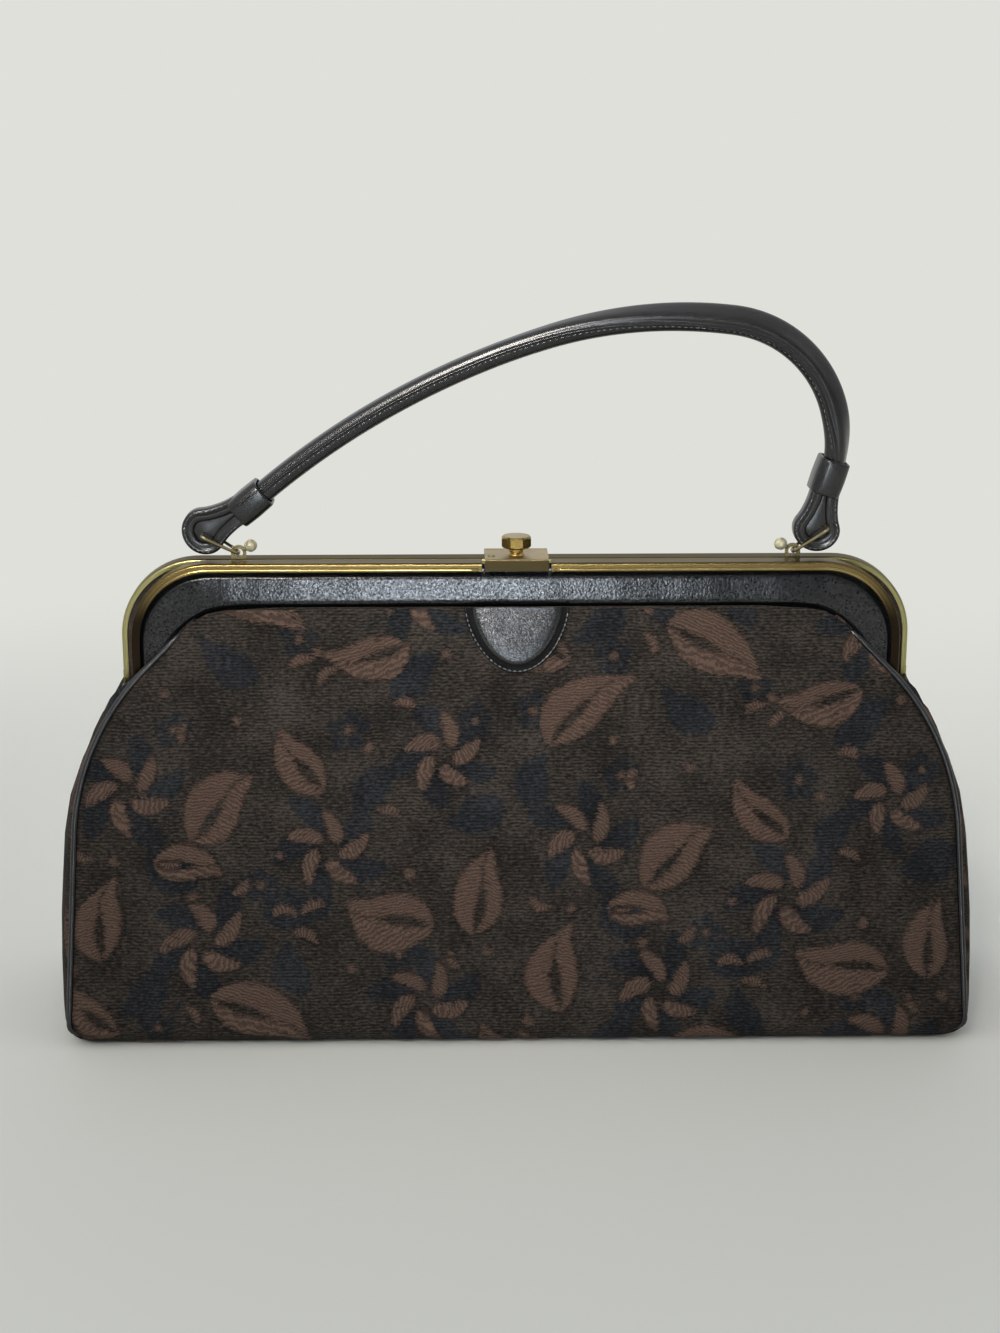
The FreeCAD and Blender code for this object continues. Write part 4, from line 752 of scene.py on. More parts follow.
# each quarter of the pouch: side, hand, the half of the frame it follows, and the words of its name
quarters = [(side, hand, body, place, way)
            for side, body, place in ((-1, "front_frame", "front"), (1, "rear_frame", "back"))
            for hand, way in ((-1, "left"), (1, "right"))]
for side, hand, body, place, way in quarters:
    gussetQuarter("gusset" + place.capitalize() + way.capitalize(), side, hand)
print("gussets made")


# tubes, bands and stitches

# two normals at each point of a path, the first kept near a given way
def pathNormals(path, way):
    tangents = unit(np.gradient(path, axis=0))
    first = unit(way - (tangents @ way)[:, None] * tangents)
    return first, np.cross(tangents, first)


def sweepSection(name, path, way, sections, material):
    first, second = pathNormals(path, np.array(way, float))
    rings = []
    for k, point in enumerate(path):
        section = sections(k / (len(path) - 1))
        rings.append(point + section[:, :1] * first[k] + section[:, 1:2] * second[k])
    rings = np.array(rings)
    return meshPiece(name, rings.reshape(-1, 3), tubeFaces(*rings.shape[:2]), material)


def circleSection(radius, count):
    a = np.linspace(0, 2 * math.pi, count, endpoint=False)
    return np.stack([np.cos(a), np.sin(a)], axis=1) * radius


# place along a stitch and share of its thickness, and how far its ends sink, in radii
spindle = {"profile": [(-0.5, 0.15), (-0.42, 0.7), (-0.2, 1.0), (0.2, 1.0), (0.42, 0.7), (0.5, 0.15)],
           "sides": 6, "sink": 0.77}


# short threads laid end to end with a gap, each a small spindle pressed into the leather
def stitchRow(name, path, way, stitch, gap, radius):
    runs = runsAlong(path)
    ways = np.broadcast_to(way, path.shape)
    count = max(1, int(runs[-1] // (stitch + gap)))
    pitch = runs[-1] / count
    profile = spindle["profile"]
    verts, faces = [], []
    for n in range(count):
        middle = (n + 0.5) * pitch
        at = np.array([[np.interp(middle + s * stitch, runs, path[:, k]) for k in range(3)]
                       for s, _ in profile])
        tangent = unit(at[-1] - at[0])
        out = np.array([np.interp(middle, runs, ways[:, k]) for k in range(3)])
        out = unit(out - tangent * (out @ tangent))
        aside = np.cross(tangent, out)
        start = len(verts)
        for (s, size), point in zip(profile, at):
            dip = -radius * spindle["sink"] * (2 * abs(s)) ** 3
            for x, y in circleSection(radius * size, spindle["sides"]):
                verts.append(point + out * (x + dip) + aside * y)
        faces += [tuple(i + start for i in face) for face in tubeFaces(len(profile), spindle["sides"])]
    return meshPiece(name, verts, faces, thread)


# piping along the panel edges

piping = {"radius": 1.1, "low": 0.9, "high": 153.7, "step": 1.4, "baseStep": 6.0, "sides": 14, "seamIn": 0.2,
          # sunk into the seam, deeper at the base's fold
          "sink": 1.15, "sinkLess": 0.55, "sinkSpan": (6.0, 20.0), "foldTo": 8.0, "foldSink": 1.3,
          "foldIn": 0.8,
          # upper end: in, back and down behind the panel's corner
          "tuckFrom": 144.5, "tuckIn": 1.5, "tuckBack": 3.4, "tuckDown": 1.2}


def pipingTube(name, side, hand, node):
    rows = wrapProfile(piping["baseStep"], piping["step"], piping["step"])
    rows = rows[(rows[:, 2] < piping["high"]) & (rows[:, 2] > piping["low"])]
    heights = rows[:, 2]
    # the lower end sinks into the base's fold, the upper one goes down behind the panel's corner
    folded = 1 - smoothStep(piping["low"], piping["foldTo"], heights)
    tucked = smoothStep(piping["tuckFrom"], piping["high"], heights)
    sink = piping["sink"] - piping["sinkLess"] * smoothStep(*piping["sinkSpan"], heights)
    sink = sink + piping["foldSink"] * folded
    x = pipingX(heights) - piping["tuckIn"] * tucked - piping["seamIn"] - piping["foldIn"] * folded
    y = rows[:, 1] - rows[:, 3] * sink + piping["tuckBack"] * tucked
    z = heights - rows[:, 4] * sink - piping["tuckDown"] * tucked
    path = np.stack([x, y, z], axis=1) * [hand, -side, 1]

    # the cord's cover is a little uneven along its length, and thin at its upper end
    def section(t):
        even = 1 + 0.03 * math.sin(t * 61) + 0.02 * math.sin(t * 143 + 1)
        thin = 1 - 0.45 * float(smoothStep(0.95, 1, t))
        return circleSection(piping["radius"] * even * thin, piping["sides"])

    piece = sweepSection(name, path, (0, side, 0.25), section, pipingLeather)
    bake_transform(piece)
    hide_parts(node)


for side, hand, body, place, way in quarters:
    node = "piping_%s_%s" % (place, way)
    pipingTube(node + "_tube", side, hand, node)
print("piping made")


# frame leather: crowned bands inside each brass half

frameHalf = {"front_frame": 141.5, "rear_frame": 146.0}  # half width of each brass half
cover = {"arch": 26.6, "top": 170.2, "inset": 2.5, "legFoot": 128.0, "bandFoot": 152.6, "leg": 11.8,
         "innerArch": 18.0, "face": 7.1, "counts": (8, 16, 60), "cornerFrom": 12.0, "cornerTo": 10.0,
         # share of the way down the band, along the top and at the corners, and height over its board
         "crown": [(0.0, 0.0, -1.3), (0.09, 0.10, -1.25), (0.12, 0.13, -0.7), (0.14, 0.15, -0.1),
                   (0.165, 0.18, 0.16), (0.21, 0.24, 0.34), (0.29, 0.33, 0.53), (0.40, 0.46, 0.81),
                   (0.51, 0.6, 1.1), (0.61, 0.73, 1.35), (0.68, 0.82, 1.45), (0.72, 0.88, 1.2),
                   (0.75, 0.92, 0.2), (0.78, 0.95, -0.6), (1.0, 1.0, -1.1)]}


# two legs, two bends and a flat top, from left to right, as x and z
def archLine(half, top, radius, foot, legCount, archCount, topCount):
    left = [(-half, z) for z in np.linspace(foot, top - radius, legCount, endpoint=False)]
    bend = [(-half + radius - radius * math.cos(a), top - radius + radius * math.sin(a))
            for a in np.linspace(0, math.pi / 2, archCount, endpoint=False)]
    flatTop = [(x, top) for x in np.linspace(-half + radius, half - radius, topCount)]
    right = [(-x, z) for x, z in (left + bend)[::-1]]
    return np.array(left + bend + flatTop + right)


def leatherBand(name, side, body, node):
    edge = frameHalf[body] - cover["inset"]
    outer = archLine(edge, cover["top"], cover["arch"], cover["legFoot"], *cover["counts"])
    inner = archLine(edge - cover["leg"], cover["bandFoot"], cover["innerArch"], cover["legFoot"],
                     *cover["counts"])
    toCorner = smoothStep(edge - cover["arch"] - cover["cornerFrom"], edge - cover["cornerTo"],
                          np.abs(outer[:, 0]))
    rings = []
    for topShare, cornerShare, lift in cover["crown"]:
        share = topShare + (cornerShare - topShare) * toCorner
        line = outer + (inner - outer) * share[:, None]
        # slight waves where the leather is drawn over the board
        wave = 0.05 * np.sin(line[:, 0] * 0.21) + 0.04 * np.sin(line[:, 0] * 0.53 + 1)
        y = -(cover["face"] + lift * (1 - 0.45 * toCorner * (lift > 0)) + wave * (lift > 0))
        rings.append(np.stack([line[:, 0], y, line[:, 1]], axis=1))
    points = np.array(rings)
    points[..., 1] *= -side
    piece = meshPiece(name, points.reshape(-1, 3), gridFaces(len(rings), len(outer), flip=side < 0),
                      frameLeather)
    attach(piece, body)
    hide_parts(node)


leatherBand("frameBandFront", -1, "front_frame", "front_cover")
leatherBand("frameBandBack", 1, "rear_frame", "rear_cover")


# bright roll along the lower edge of each brass face
bead = {"radius": 0.62, "down": 2.5, "arch": 29.1, "top": 172.8, "face": 8.15, "foot": 127.5, "gap": 12.6,
        "end": 150.0, "counts": (10, 18, 90), "sides": 12, "thin": 0.15, "thinRun": 14.0}


def brassBead(name, side, body, gap):
    down = bead["down"]
    line = archLine(frameHalf[body] - down, bead["top"] - down, bead["arch"] - down, bead["foot"],
                    *bead["counts"])
    line = line[line[:, 1] > bead["end"]]
    parts = {"Left": line[line[:, 0] < -gap], "Right": line[line[:, 0] > gap]} if gap else {"": line}
    for label, part in parts.items():
        path = np.stack([part[:, 0], np.full(len(part), side * bead["face"]), part[:, 1]], axis=1)
        # thins away down the leg at each outer end
        full = smoothStep(bead["end"], bead["end"] + bead["thinRun"], part[:, 1])
        radii = bead["radius"] * (bead["thin"] + (1 - bead["thin"]) * full)
        piece = sweepSection(name + label, path, (0, side, 0),
                             lambda t: circleSection(radii[round(t * (len(radii) - 1))], bead["sides"]),
                             beadBrass)
        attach(piece, body)


brassBead("beadFront", -1, "front_frame", bead["gap"])
brassBead("beadBack", 1, "rear_frame", 0)
print("frame leather and bead made")


# half-round tab: rolled stitched edge, groove, soft middle

tab = {"half": 19.3, "top": 156.6, "height": 23.9, "lift": 0.7, "rows": 60, "columns": 81,
       # distance in from the edge, height: rolled edge, wide pressed groove, padded middle
       "profile": [(0.0, 0.0), (0.12, 0.55), (0.35, 1.0), (0.6, 1.1), (0.85, 0.95), (1.1, 0.5), (1.5, 0.3),
                   (2.4, 0.34), (2.9, 0.55), (3.4, 0.95), (4.0, 1.3), (5.5, 1.55), (8.0, 1.7), (20.0, 1.8)],
       "rollTo": 1.0, "grooveTo": 3.1, "seamIn": 0.62, "seamHeight": 1.12, "seamAim": (0, 8.0),
       "stitch": (1.3, 0.6, 0.24)}  # length, gap and radius of a stitch


def tabHalf(down):
    return tab["half"] * np.sqrt(np.maximum(1 - np.clip(down / tab["height"], 0, 1) ** 1.6, 0))


# how far the panel under the tab swells out
def tabPuff(down):
    runTop = swellRuns[-1] + (tab["top"] - pouch["panelTop"]) * pouch["stretch"]
    return np.interp(runTop - down, swellRuns, swellLift[:, swellLift.shape[1] // 2])


def leatherTab():
    downs = tab["height"] * (1 - (1 - np.linspace(0, 0.992, tab["rows"])) ** 2)
    edgeDowns = tab["height"] * np.sin(np.linspace(0, math.pi / 2, 90))
    edge = np.stack([tabHalf(edgeDowns), edgeDowns], axis=1)
    across = np.sin(np.linspace(-1, 1, tab["columns"]) * math.pi / 2)
    x = tabHalf(downs)[:, None] * across[None, :]
    down = np.repeat(downs[:, None], tab["columns"], 1)
    inward = np.min(np.hypot(np.abs(x)[..., None] - edge[:, 0], down[..., None] - edge[:, 1]), axis=-1)
    inward = np.where(np.abs(across)[None, :] > 0.9999, 0, inward)
    profile = np.array(tab["profile"])
    height = np.interp(inward, profile[:, 0], profile[:, 1])
    puff = tabPuff(down)
    # faint creases across the padded middle, near the frame
    crease = 0.035 * (np.sin(down * 1.5 + 0.08 * x) + np.sin(down * 2.6 - 0.05 * x + 1.0))
    crease = crease * smoothStep(3.5, 5, inward) * smoothStep(14, 6, down)
    z = tab["top"] - down / pouch["stretch"]
    base = np.stack([x, -depthAt(z), z], axis=-1)
    points = base + panelNormal * (height + tab["lift"] + puff + crease)[..., None]
    rows, columns = x.shape
    piece = meshPiece("frontTabLeather", points.reshape(-1, 3), gridFaces(rows, columns, flip=True),
                      tabLeather)
    piece.data.materials.append(pipingLeather)
    piece.data.materials.append(grooveShadeLeather)
    flat = inward.ravel()
    # faces in the groove take the darker leather, painted shade in the groove
    for face in piece.data.polygons:
        place = np.mean([flat[i] for i in face.vertices])
        face.material_index = 1 if place < tab["rollTo"] else 2 if place < tab["grooveTo"] else 0
    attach(piece, "front_frame")
    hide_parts("front_tab")
    # stitches over the rolled edge
    ring = np.concatenate([edge, edge[::-1][1:] * [-1, 1]])
    ring = ring + unit(np.array(tab["seamAim"]) - ring) * tab["seamIn"]
    z = tab["top"] - ring[:, 1] / pouch["stretch"]
    seam = np.stack([ring[:, 0], -depthAt(z), z], axis=1)
    seam = seam + panelNormal * (tab["seamHeight"] + tab["lift"] + tabPuff(ring[:, 1]))[:, None]
    stitches = stitchRow("frontTabStitches", seam[4:-4], panelNormal, *tab["stitch"])
    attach(stitches, "front_frame")


leatherTab()
print("tab made")


# handle: two leathers joined by a welted seam over a cord

handle = {"start": (-91.1, 198.6), "angles": (39.5, 17.0, -7.0, -98.0), "radii": (300.0, 160.0, 44.0),
          "tuck": 5.0, "plane": 1.6, "width": 12.0, "thick": 8.0, "seam": -0.9, "step": 1.5, "twist": 40.0,
          "sleeve": 13.0, "sleeveStep": 1.0, "sleeveWall": 1.3, "sleeveEase": 0.25, "sleeveCorner": 3.6,
          "sleeveWays": (219.5, -108.0), "loopMiddles": ((-114.0, 183.4), (110.4, 183.4)),
          "loopRadius": 8.3, "loopBand": 4.4, "loopWidth": 6.5, "loopTuck": 1.5,
          # length, gap and radius of a stitch, and its height over the seam
          "strapStitch": (1.5, 0.7, 0.14), "loopStitch": (1.3, 0.6, 0.15), "stitchUp": 1.25}
handleFront = np.array([0, -1.0, 0])


# middle line of the strap, three arcs with an end tucked into each sleeve, and the right tip
def strapLine():
    first, last = math.radians(handle["angles"][0]), math.radians(handle["angles"][-1])
    here = np.array(handle["start"])
    points = [here - handle["tuck"] * np.array([math.cos(first), math.sin(first)]) * t for t in (1, 0.5)]
    points.append(here)
    for radius, begin, end in zip(handle["radii"], handle["angles"], handle["angles"][1:]):
        b, e = math.radians(begin), math.radians(end)
        count = max(4, int(radius * (b - e) / handle["step"]))
        for t in np.linspace(0, 1, count + 1)[1:]:
            a = b + (e - b) * t
            points.append(here + radius * np.array([math.sin(b) - math.sin(a), math.cos(a) - math.cos(b)]))
        here = points[-1]
    points += [here + handle["tuck"] * np.array([math.cos(last), math.sin(last)]) * t for t in (0.5, 1)]
    flat = np.array(points)
    return np.stack([flat[:, 0], np.full(len(flat), handle["plane"]), flat[:, 1]], axis=1), here


# one side of the section from the top middle to the bottom middle, with the welt and its groove
def strapOutline():
    w, t, seam = handle["width"] / 2, handle["thick"] / 2, handle["seam"]
    right = [(0, t), (w * 0.40, t - 0.05), (w * 0.66, t - 0.4), (w * 0.84, t - 1.15), (w * 0.93, t - 2.0),
             (w * 0.97, t - 2.9), (w - 0.1, seam + 1.1), (w - 0.02, seam + 0.62), (w + 0.22, seam + 0.4),
             (w + 0.3, seam + 0.12), (w + 0.12, seam - 0.14), (w - 0.6, seam - 0.3), (w - 0.95, seam - 0.75),
             (w - 1.15, seam - 1.5), (w - 1.7, seam - 2.3), (w * 0.5, -t + 0.2), (w * 0.25, -t + 0.03),
             (0, -t)]
    outline = np.array(right + [(-x, y) for x, y in right[::-1][1:-1]])
    # corners cut twice, to round them
    for _ in range(2):
        after = np.roll(outline, -1, axis=0)
        outline = np.stack([outline * 0.75 + after * 0.25, outline * 0.25 + after * 0.75], axis=1)
        outline = outline.reshape(-1, 2)
    return outline


def turned(section, degrees):
    a = math.radians(degrees)
    return section @ np.array([[math.cos(a), math.sin(a)], [-math.sin(a), math.cos(a)]])


# the strap turns towards its right end, and partly back at the tip
def strapTwist(t):
    return handle["twist"] * float(smoothStep(0.38, 0.78, t) * (1 - 0.6 * smoothStep(0.92, 1.0, t)))


def leatherStrap():
    path, tip = strapLine()
    outline = strapOutline()

    # section x is across the strap, y away from the handle's middle
    def section(t):
        return turned(outline, strapTwist(t))

    piece = sweepSection("handleStrap", path, handleFront, section, strapLeather)
    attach(piece, "handle")
    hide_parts("handle_strap", "handle_core")
    first, second = pathNormals(path, handleFront)
    for face, label in ((1, "Front"), (-1, "Back")):
        flatSpot = np.array([[face * (handle["width"] / 2 - 0.05), handle["seam"] + handle["stitchUp"]]])
        line = []
        for k in range(4, len(path) - 4):
            spot = turned(flatSpot, strapTwist(k / (len(path) - 1)))[0]
            line.append(path[k] + first[k] * spot[0] + second[k] * spot[1])
        stitches = stitchRow("handleStitches" + label, np.array(line), first[4:-4] * face,
                             *handle["strapStitch"])
        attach(stitches, "handle")
    return tip


strapTip = leatherStrap()
print("strap made")


def along(point, degrees, distance):
    a = math.radians(degrees)
    return np.array([point[0] + math.cos(a) * distance, point[1] + math.sin(a) * distance])


# soft rounded rectangle of half sizes a, b
def softRectangle(a, b, corner, perCorner):
    points = []
    for sx, sy, start in ((1, 1, 0), (-1, 1, 90), (-1, -1, 180), (1, -1, 270)):
        for w in np.radians(start + np.linspace(0, 90, perCorner)):
            points.append((sx * (a - corner) + corner * math.cos(w),
                           sy * (b - corner) + corner * math.sin(w)))
    return np.array(points)


def leatherSleeve(name, tip, outward, node):
    a = handle["width"] / 2 + handle["sleeveEase"] + handle["sleeveWall"]
    b = handle["thick"] / 2 + handle["sleeveEase"] + handle["sleeveWall"]
    length = handle["sleeve"]
    # run along the sleeve and growth of the wall, which rolls in at both ends
    stages = [(0.0, -1.1), (0.0, -0.45), (0.25, -0.1), (0.8, 0), (0.3 * length, 0.12), (0.5 * length, 0.18),
              (0.7 * length, 0.12), (length - 0.8, 0), (length - 0.25, -0.1), (length, -0.45), (length, -1.1)]
    way = along((0, 0), outward, 1)
    second = np.cross([way[0], 0, way[1]], handleFront)
    rings = []
    for run, size in stages:
        x, z = along(tip, outward, handle["sleeveStep"] + run)
        section = softRectangle(a + size, b + size, handle["sleeveCorner"] + size, 5)
        point = np.array([x, handle["plane"], z])
        rings.append(point + section[:, :1] * handleFront + section[:, 1:2] * second)
    rings = np.array(rings)
    piece = meshPiece(name, rings.reshape(-1, 3), gridFaces(len(rings), rings.shape[1], roundWay=True),
                      strapLeather)
    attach(piece, "handle")
    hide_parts(node)


# the strap's end folded round the ring: two thicknesses with a stitched edge
def leatherLoop(name, tip, outward, middle, node):
    centre = along(tip, outward, handle["sleeve"] / 2 + handle["sleeveStep"])
    reach = math.hypot(centre[0] - middle[0], centre[1] - middle[1])
    back = math.atan2(centre[1] - middle[1], centre[0] - middle[0])
    c, s = math.cos(back), math.sin(back)
    tail = reach - handle["sleeve"] / 2 + handle["loopTuck"]
    w, t = handle["loopWidth"] / 2, handle["loopBand"] / 2
    r = handle["loopRadius"] - t

    # from the loop's own terms, x towards the sleeve, to the handle's
    def placed(x, across, y):
        return np.stack([middle[0] + x * c - across * s, y, middle[1] + x * s + across * c], axis=1)

    # teardrop line
    half = t + 0.75
    flat = [(tail, half), (tail * 0.75, half + 0.15), (tail * 0.45, half + 1.0), (tail * 0.16, r * 0.88)]
    for a in np.radians(np.linspace(78, 282, 22)):
        flat.append((r * math.cos(a), r * math.sin(a) * 1.08))
    flat += [(x, -y) for x, y in flat[3::-1]]
    flat = np.array(flat)
    runs = runsAlong(flat)
    fine = np.linspace(0, runs[-1], 70)
    flat = np.stack([np.interp(fine, runs, flat[:, 0]), np.interp(fine, runs, flat[:, 1])], axis=1)
    for _ in range(6):
        flat[1:-1] = (flat[:-2] + flat[1:-1] * 2 + flat[2:]) / 4
    rising = flat[:len(flat) // 2][::-1]
    path = placed(flat[:, 0], flat[:, 1], np.full(len(flat), handle["plane"]))
    # outer leather, groove between the layers, thinner inner leather
    side = [(0, t), (w - 0.7, t), (w - 0.15, t - 0.35), (w, t - 0.9), (w - 0.1, 0.25), (w - 0.5, 0.02),
            (w - 0.45, -0.3), (w - 0.35, -t * 0.7), (w - 0.9, -t), (0, -t)]
    section = np.array(side + [(-x, y) for x, y in side[::-1][1:-1]])
    piece = sweepSection(name, path, handleFront, lambda _: section, strapLeather)
    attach(piece, "handle")
    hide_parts(node)
    # the turned-in end lies folded between the two sides
    rings = []
    eye = r - t
    for x in np.linspace(-eye - 0.3, tail, 14):
        b = max(0.9, float(np.interp(x, rising[:, 0], rising[:, 1])) - t + 0.4)
        b = b * min(1, 0.6 + (x + eye) * 0.2)
        ring = softRectangle(w - 1.3, b, min(0.8, b * 0.8), 4)
        rings.append(placed(x, ring[:, 1], handle["plane"] - ring[:, 0]))
    infill = meshPiece(name + "Infill", np.concatenate(rings), tubeFaces(len(rings), len(rings[0])),
                       strapLeather)
    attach(infill, "handle")
    first, second = pathNormals(path, handleFront)
    for face, label in ((1, "Front"), (-1, "Back")):
        line = path + first * face * (w + 0.02) + second * (t - 1.0)
        stitches = stitchRow(name + "Stitches" + label, line[5:-5], handleFront * face, *handle["loopStitch"])
        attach(stitches, "handle")


for number, (label, tip) in enumerate((("left", np.array(handle["start"])), ("right", strapTip))):
    outward = handle["sleeveWays"][number]
    leatherSleeve("handleSleeve_" + label, tip, outward, "handle_keeper_" + label)
    leatherLoop("handleLoop_" + label, tip, outward, handle["loopMiddles"][number], "handle_loop_" + label)
print("handle ends made")


# lining: front and back rise to the frame, sides and bottom stay with the pouch

liningCut = {"rows": 46, "columns": 60, "foot": 4.6, "top": 161.0, "sideTop": 113.0, "cornerHalf": 134.0,
             "cornerDepth": 4.8, "halfFoot": 154.2, "halfLean": 0.055, "seamIn": 7.5, "clear": 0.9,
             "depthFoot": 41.4, "depthLean": 0.2312, "depthFrom": 4.4, "slack": 0.7,
             "upperZ": [110, 125, 140, 152, 161.5], "upperDepth": [17.0, 13.4, 9.4, 5.4, 3.2],
             "troughRows": 30, "troughColumns": 20, "troughLift": 3.0, "sideFold": 9.0,
             "spare": 1.15}  # cut length over the length in place


def liningHalfWidth(z):
    straight = liningCut["halfFoot"] - liningCut["halfLean"] * z
    return np.minimum(straight, pipingX(np.clip(z, 8, 155.5)) - liningCut["seamIn"])


def liningDepth(z):
    low = liningCut["depthFoot"] - liningCut["depthLean"] * (z - liningCut["depthFrom"])
    high = np.interp(z, liningCut["upperZ"], liningCut["upperDepth"])
    return np.where(z < liningCut["upperZ"][0], low, high) - liningCut["clear"]


def liningPanel(name, side):
    heights = np.linspace(liningCut["foot"], liningCut["top"], liningCut["rows"])[:, None]
    across = np.linspace(-1, 1, liningCut["columns"])[None, :]
    panelHalf = liningHalfWidth(heights)
    x = np.maximum(panelHalf, liningCut["cornerHalf"]) * across
    slack = liningCut["slack"] * np.sin(x * 0.11 + heights * 0.05) * smoothStep(20, 70, heights)
    slack = slack * smoothStep(0, 0.12, 1 - np.abs(across)) * (1 - smoothStep(135, 160, heights))
    # past the panel's slant the cloth lies against the facing
    corner = smoothStep(-7, 1, np.abs(x) - panelHalf) * smoothStep(124, 132, heights)
    depth = liningDepth(heights) - slack
    y = side * (depth + (np.minimum(depth, liningCut["cornerDepth"]) - depth) * corner)
    points = np.stack([x, y, np.repeat(heights, liningCut["columns"], 1)], axis=-1)
    piece = meshPiece(name, points.reshape(-1, 3),
                      gridFaces(liningCut["rows"], liningCut["columns"], flip=side < 0), lining)
    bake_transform(piece)
    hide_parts("lining")


liningPanel("liningFront", -1)
liningPanel("liningBack", 1)


# down one side, across the bottom and up the other, with the sides folded in towards the hinge
def liningTrough():
    z = np.linspace(liningCut["sideTop"], liningCut["foot"] + liningCut["troughLift"],
                    liningCut["troughRows"])[:, None]
    shares = np.linspace(-1, 1, liningCut["troughColumns"])[None, :]
    fold = liningCut["sideFold"] * smoothStep(60, 113, z) * (1 - np.abs(shares)) ** 1.2
    x = liningHalfWidth(z) - fold
    half = np.stack([x, shares * liningDepth(z), np.repeat(z, liningCut["troughColumns"], 1)], axis=-1)
    points = np.concatenate([half * [-1, 1, 1], half[::-1]])
    piece = meshPiece("liningTrough", points.reshape(-1, 3), gridFaces(*points.shape[:2]), lining)
    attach(piece, "pouch")
    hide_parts("lining")


liningTrough()
print("lining made")


# worn pale ball on each lug's stalk, over the solid's own, slightly flat and uneven
lugBall = {"radius": 2.4, "inner": 1.6, "rows": 14, "columns": 20, "flat": 0.94, "uneven": 0.03}


def paleBall(hand, sideName):
    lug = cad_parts["handle_lug_" + sideName]
    spots = np.array([lug.matrix_world @ v.co for v in lug.data.vertices]) / mm
    tipX = (spots[:, 0] * -hand).max() - lugBall["inner"]
    near = spots[spots[:, 0] * -hand > tipX]
    middle = np.array([tipX * -hand, near[:, 1].mean(), (near[:, 2].max() + near[:, 2].min()) / 2])
    points = []
    for a in np.linspace(0.02, math.pi - 0.02, lugBall["rows"]):
        for b in np.linspace(0, 2 * math.pi, lugBall["columns"], endpoint=False):
            r = lugBall["radius"] * (1 + lugBall["uneven"] * math.sin(3 * b + a * 2))
            out = [math.sin(a) * math.cos(b), math.sin(a) * math.sin(b), math.cos(a) * lugBall["flat"]]
            points.append(middle + r * np.array(out))
    ball = meshPiece("lugBall_" + sideName, points,
                     tubeFaces(lugBall["rows"], lugBall["columns"], flip=True), plating)
    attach(ball, "rear_frame")


paleBall(-1, "left")
paleBall(1, "right")


# carried-over nodes

finishes = {"rear_channel": rearBrass, "front_channel": frontBrass, "hinge_rivet_left": brass,
            "hinge_rivet_right": brass, "hinge_washer_left": brass, "hinge_washer_right": brass,
            "handle_lug_left": lugBrass, "handle_lug_right": lugBrass, "clasp_hinge_base": satinBrass,
            "clasp_hinge_pin": brass, "clasp_keeper": satinBrass, "clasp_plate": satinBrass,
            "clasp_knob": knobBrass, "clasp_rivet": wireBrass, "clasp_spring": steel,
            "handle_ring_left": wireBrass, "handle_ring_right": wireBrass, "rear_facing": facingLeather,
            "front_facing": facingLeather, "base_board": fibre, "front_stiffener": fibre,
            "back_stiffener": fibre}
for name, material in finishes.items():
    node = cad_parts[name]
    node.data.materials.clear()
    node.data.materials.append(material)
# stamped edges are broken by a hair, so they catch the light
brokenEdge = {"pieces": ("clasp_plate", "clasp_keeper", "rear_channel"), "width": 0.3, "fromAngle": 50}
for name in brokenEdge["pieces"]:
    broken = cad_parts[name].modifiers.new("brokenEdge", "BEVEL")
    broken.width = brokenEdge["width"] * mm
    broken.segments = 2
    broken.limit_method = "ANGLE"
    broken.angle_limit = math.radians(brokenEdge["fromAngle"])
print("metal and board finished")


# floor, light and camera

# floor rings in mm, fade from the table to the far tone in metres, and light from before and behind
stage = {"rings": (300, 700, 1500, 3500, 9000), "spokes": 96, "floor": "#dedfd9", "far": "#dfe0da",
         "fadeFrom": 0.2, "fadeTo": 0.75, "wall": "#eef0f2", "wallWay": (-0.45, 0.55, 0.70),
         "wallFrom": -0.6, "wallTo": 0.8, "front": 0.32, "behind": 0.85}


def paleFloor():
    count = stage["spokes"]
    a = 2 * math.pi * np.arange(count) / count
    rings = [np.stack([radius * np.cos(a), radius * np.sin(a), 0 * a], axis=1) for radius in stage["rings"]]
    points = np.concatenate([np.zeros((1, 3))] + rings)
    faces = [(0, 1 + k, 1 + (k + 1) % count) for k in range(count)]
    faces += [tuple(1 + i for i in face) for face in gridFaces(len(rings), count, roundWay=True, flip=True)]
    material, tree, shader = newMaterial("paleTable", {"Base Color": stage["floor"], "Roughness": 0.6,
                                                      "Specular IOR Level": 0.25})
    output = next(n for n in tree.nodes if n.type == "OUTPUT_MATERIAL")
    place = addNode(tree, "ShaderNodeNewGeometry")
    away = addNode(tree, "ShaderNodeVectorMath", None, {0: (place, "Position")}, operation="LENGTH")
    fade = addNode(tree, "ShaderNodeMapRange", {"From Min": stage["fadeFrom"], "From Max": stage["fadeTo"]},
                   {"Value": (away, "Value")}, interpolation_type="SMOOTHSTEP")
    light = addNode(tree, "ShaderNodeLightPath")
    seen = addNode(tree, "ShaderNodeMath", None, {0: (light, "Is Camera Ray"), 1: (light, "Is Glossy Ray")},
                   operation="MAXIMUM")
    share = addNode(tree, "ShaderNodeMath", None, {0: (fade, "Result"), 1: (seen, "Value")},
                    operation="MULTIPLY")
    glow = addNode(tree, "ShaderNodeEmission", {"Color": stage["far"], "Strength": 1.0})
    mix = addNode(tree, "ShaderNodeMixShader", None, {0: (share, "Value"), 1: (shader, "BSDF"),
                                                      2: (glow, "Emission")})
    tree.links.new(mix.outputs["Shader"], output.inputs["Surface"])
    floor = meshPiece("paleTable", points, faces, material, smooth=False)


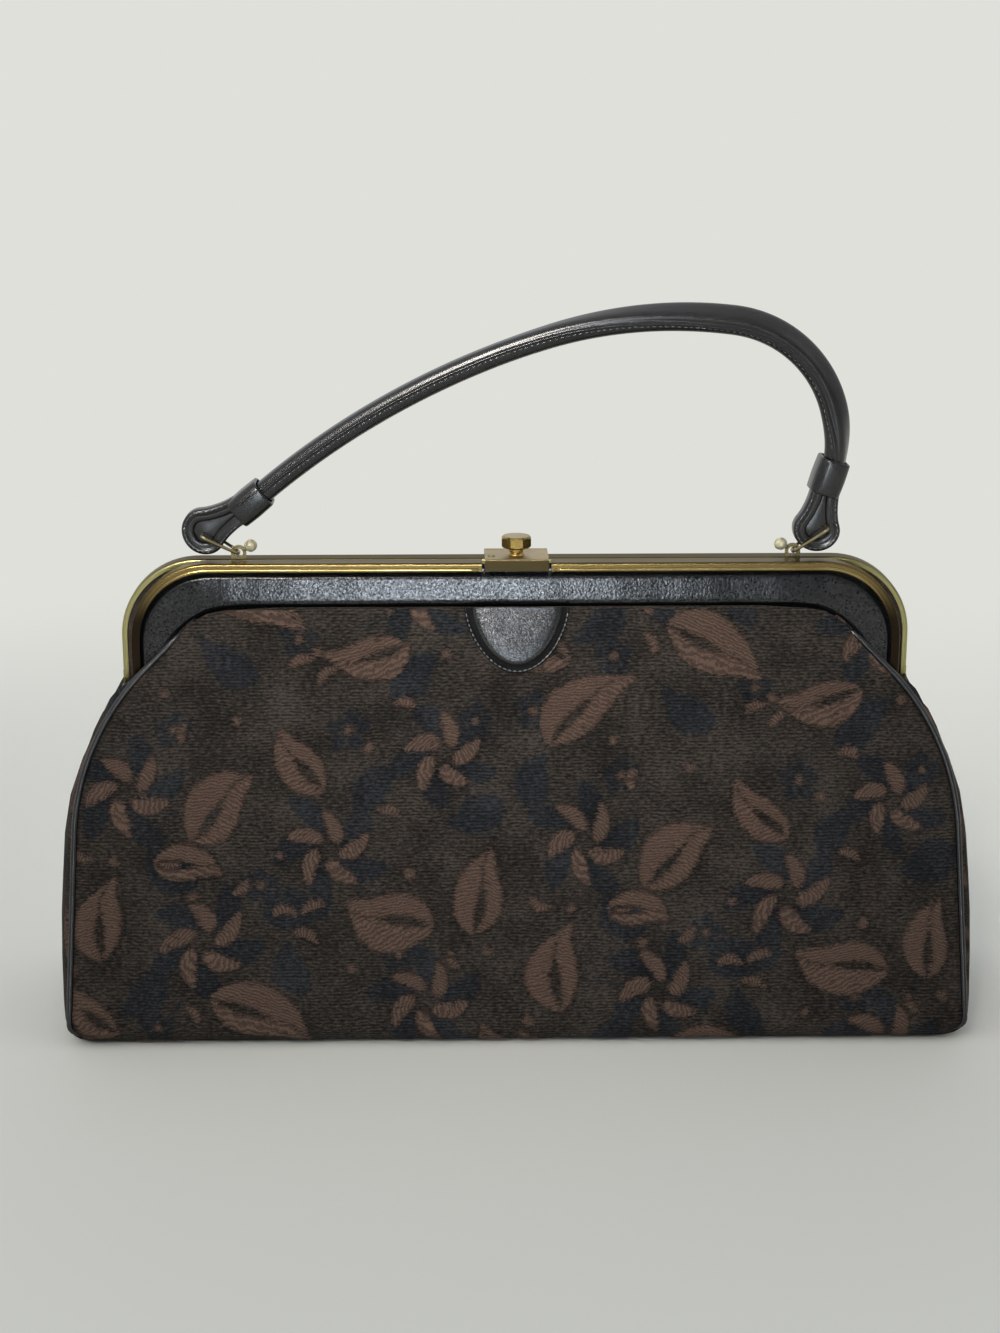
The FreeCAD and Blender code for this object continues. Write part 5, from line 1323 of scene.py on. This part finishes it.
def softWorld():
    world = bpy.data.worlds.new("softRoom")
    bpy.context.scene.world = world
    world.use_nodes = True
    tree = world.node_tree
    tree.nodes.clear()
    light = addNode(tree, "ShaderNodeLightPath")
    shown = addNode(tree, "ShaderNodeBackground", {"Color": stage["far"], "Strength": 1.0})
    way = addNode(tree, "ShaderNodeTexCoord")
    toWall = addNode(tree, "ShaderNodeVectorMath", {1: stage["wallWay"]}, {0: (way, "Generated")},
                     operation="DOT_PRODUCT")
    level = addNode(tree, "ShaderNodeMapRange",
                    {"From Min": stage["wallFrom"], "From Max": stage["wallTo"],
                     "To Min": stage["front"], "To Max": stage["behind"]}, {"Value": (toWall, "Value")})
    given = addNode(tree, "ShaderNodeBackground", {"Color": stage["wall"]}, {"Strength": (level, "Result")})
    mix = addNode(tree, "ShaderNodeMixShader", None, {0: (light, "Is Camera Ray"), 1: (given, "Background"),
                                                      2: (shown, "Background")})
    addNode(tree, "ShaderNodeOutputWorld", None, {"Surface": (mix, "Shader")})


# name, place, width and height in metres, place aimed at, power, spread in degrees, colour
lamps = [("windowLamp", (-0.55, -0.80, 1.10), (0.85, 0.85), (0, 0, 0.16), 2.9, 180, "#fffaf2"),
         ("upperLamp", (-0.35, -1.15, 1.00), (0.30, 0.30), (-0.03, 0, 0.26), 0.38, 22, "#fffaf2"),
         ("frontLamp", (-0.04, -1.4, 0.30), (0.16, 0.56), (0, 0, 0.19), 0.175, 26, "#e8f3ff"),
         ("rightLamp", (1.5, -0.5, 1.2), (1.0, 1.0), (0, 0, 0.16), 1.4, 180, "#fff6ea")]


def softLamp(name, place, size, aim, power, spread, colour):
    data = bpy.data.lights.new(name, "AREA")
    data.shape = "RECTANGLE"
    data.size, data.size_y = size
    data.energy = power
    data.spread = math.radians(spread)
    data.color = linearColour(colour)[:3]
    lamp = bpy.data.objects.new(name, data)
    lamp.location = place
    lamp.rotation_mode = "QUATERNION"
    lamp.rotation_quaternion = (Vector(aim) - Vector(place)).to_track_quat("-Z", "Y")
    lamp.visible_camera = False
    bpy.context.scene.collection.objects.link(lamp)


# focal length and long side in pixels, sensor in mm, distance and target in metres, angles in degrees
camera = {"pixels": 2281.9, "frame": 1333, "sensor": 36.0, "distance": 0.85, "yaw": -1.07, "pitch": 15.18,
          "target": (-0.00597, 0.0, 0.13158)}


def placeCamera():
    data = bpy.data.cameras.new("photoCamera")
    data.sensor_width = camera["sensor"]
    data.lens = camera["pixels"] / camera["frame"] * camera["sensor"]
    yaw, pitch = math.radians(camera["yaw"]), math.radians(camera["pitch"])
    back = Vector((math.sin(yaw) * math.cos(pitch), -math.cos(yaw) * math.cos(pitch), math.sin(pitch)))
    body = bpy.data.objects.new("photoCamera", data)
    body.location = Vector(camera["target"]) + back * camera["distance"]
    body.rotation_mode = "QUATERNION"
    body.rotation_quaternion = (-back).to_track_quat("-Z", "Y")
    bpy.context.scene.collection.objects.link(body)
    bpy.context.scene.camera = body


paleFloor()
softWorld()
for lamp in lamps:
    softLamp(*lamp)
placeCamera()
bpy.context.scene.view_settings.view_transform = "Standard"
print("stage set")
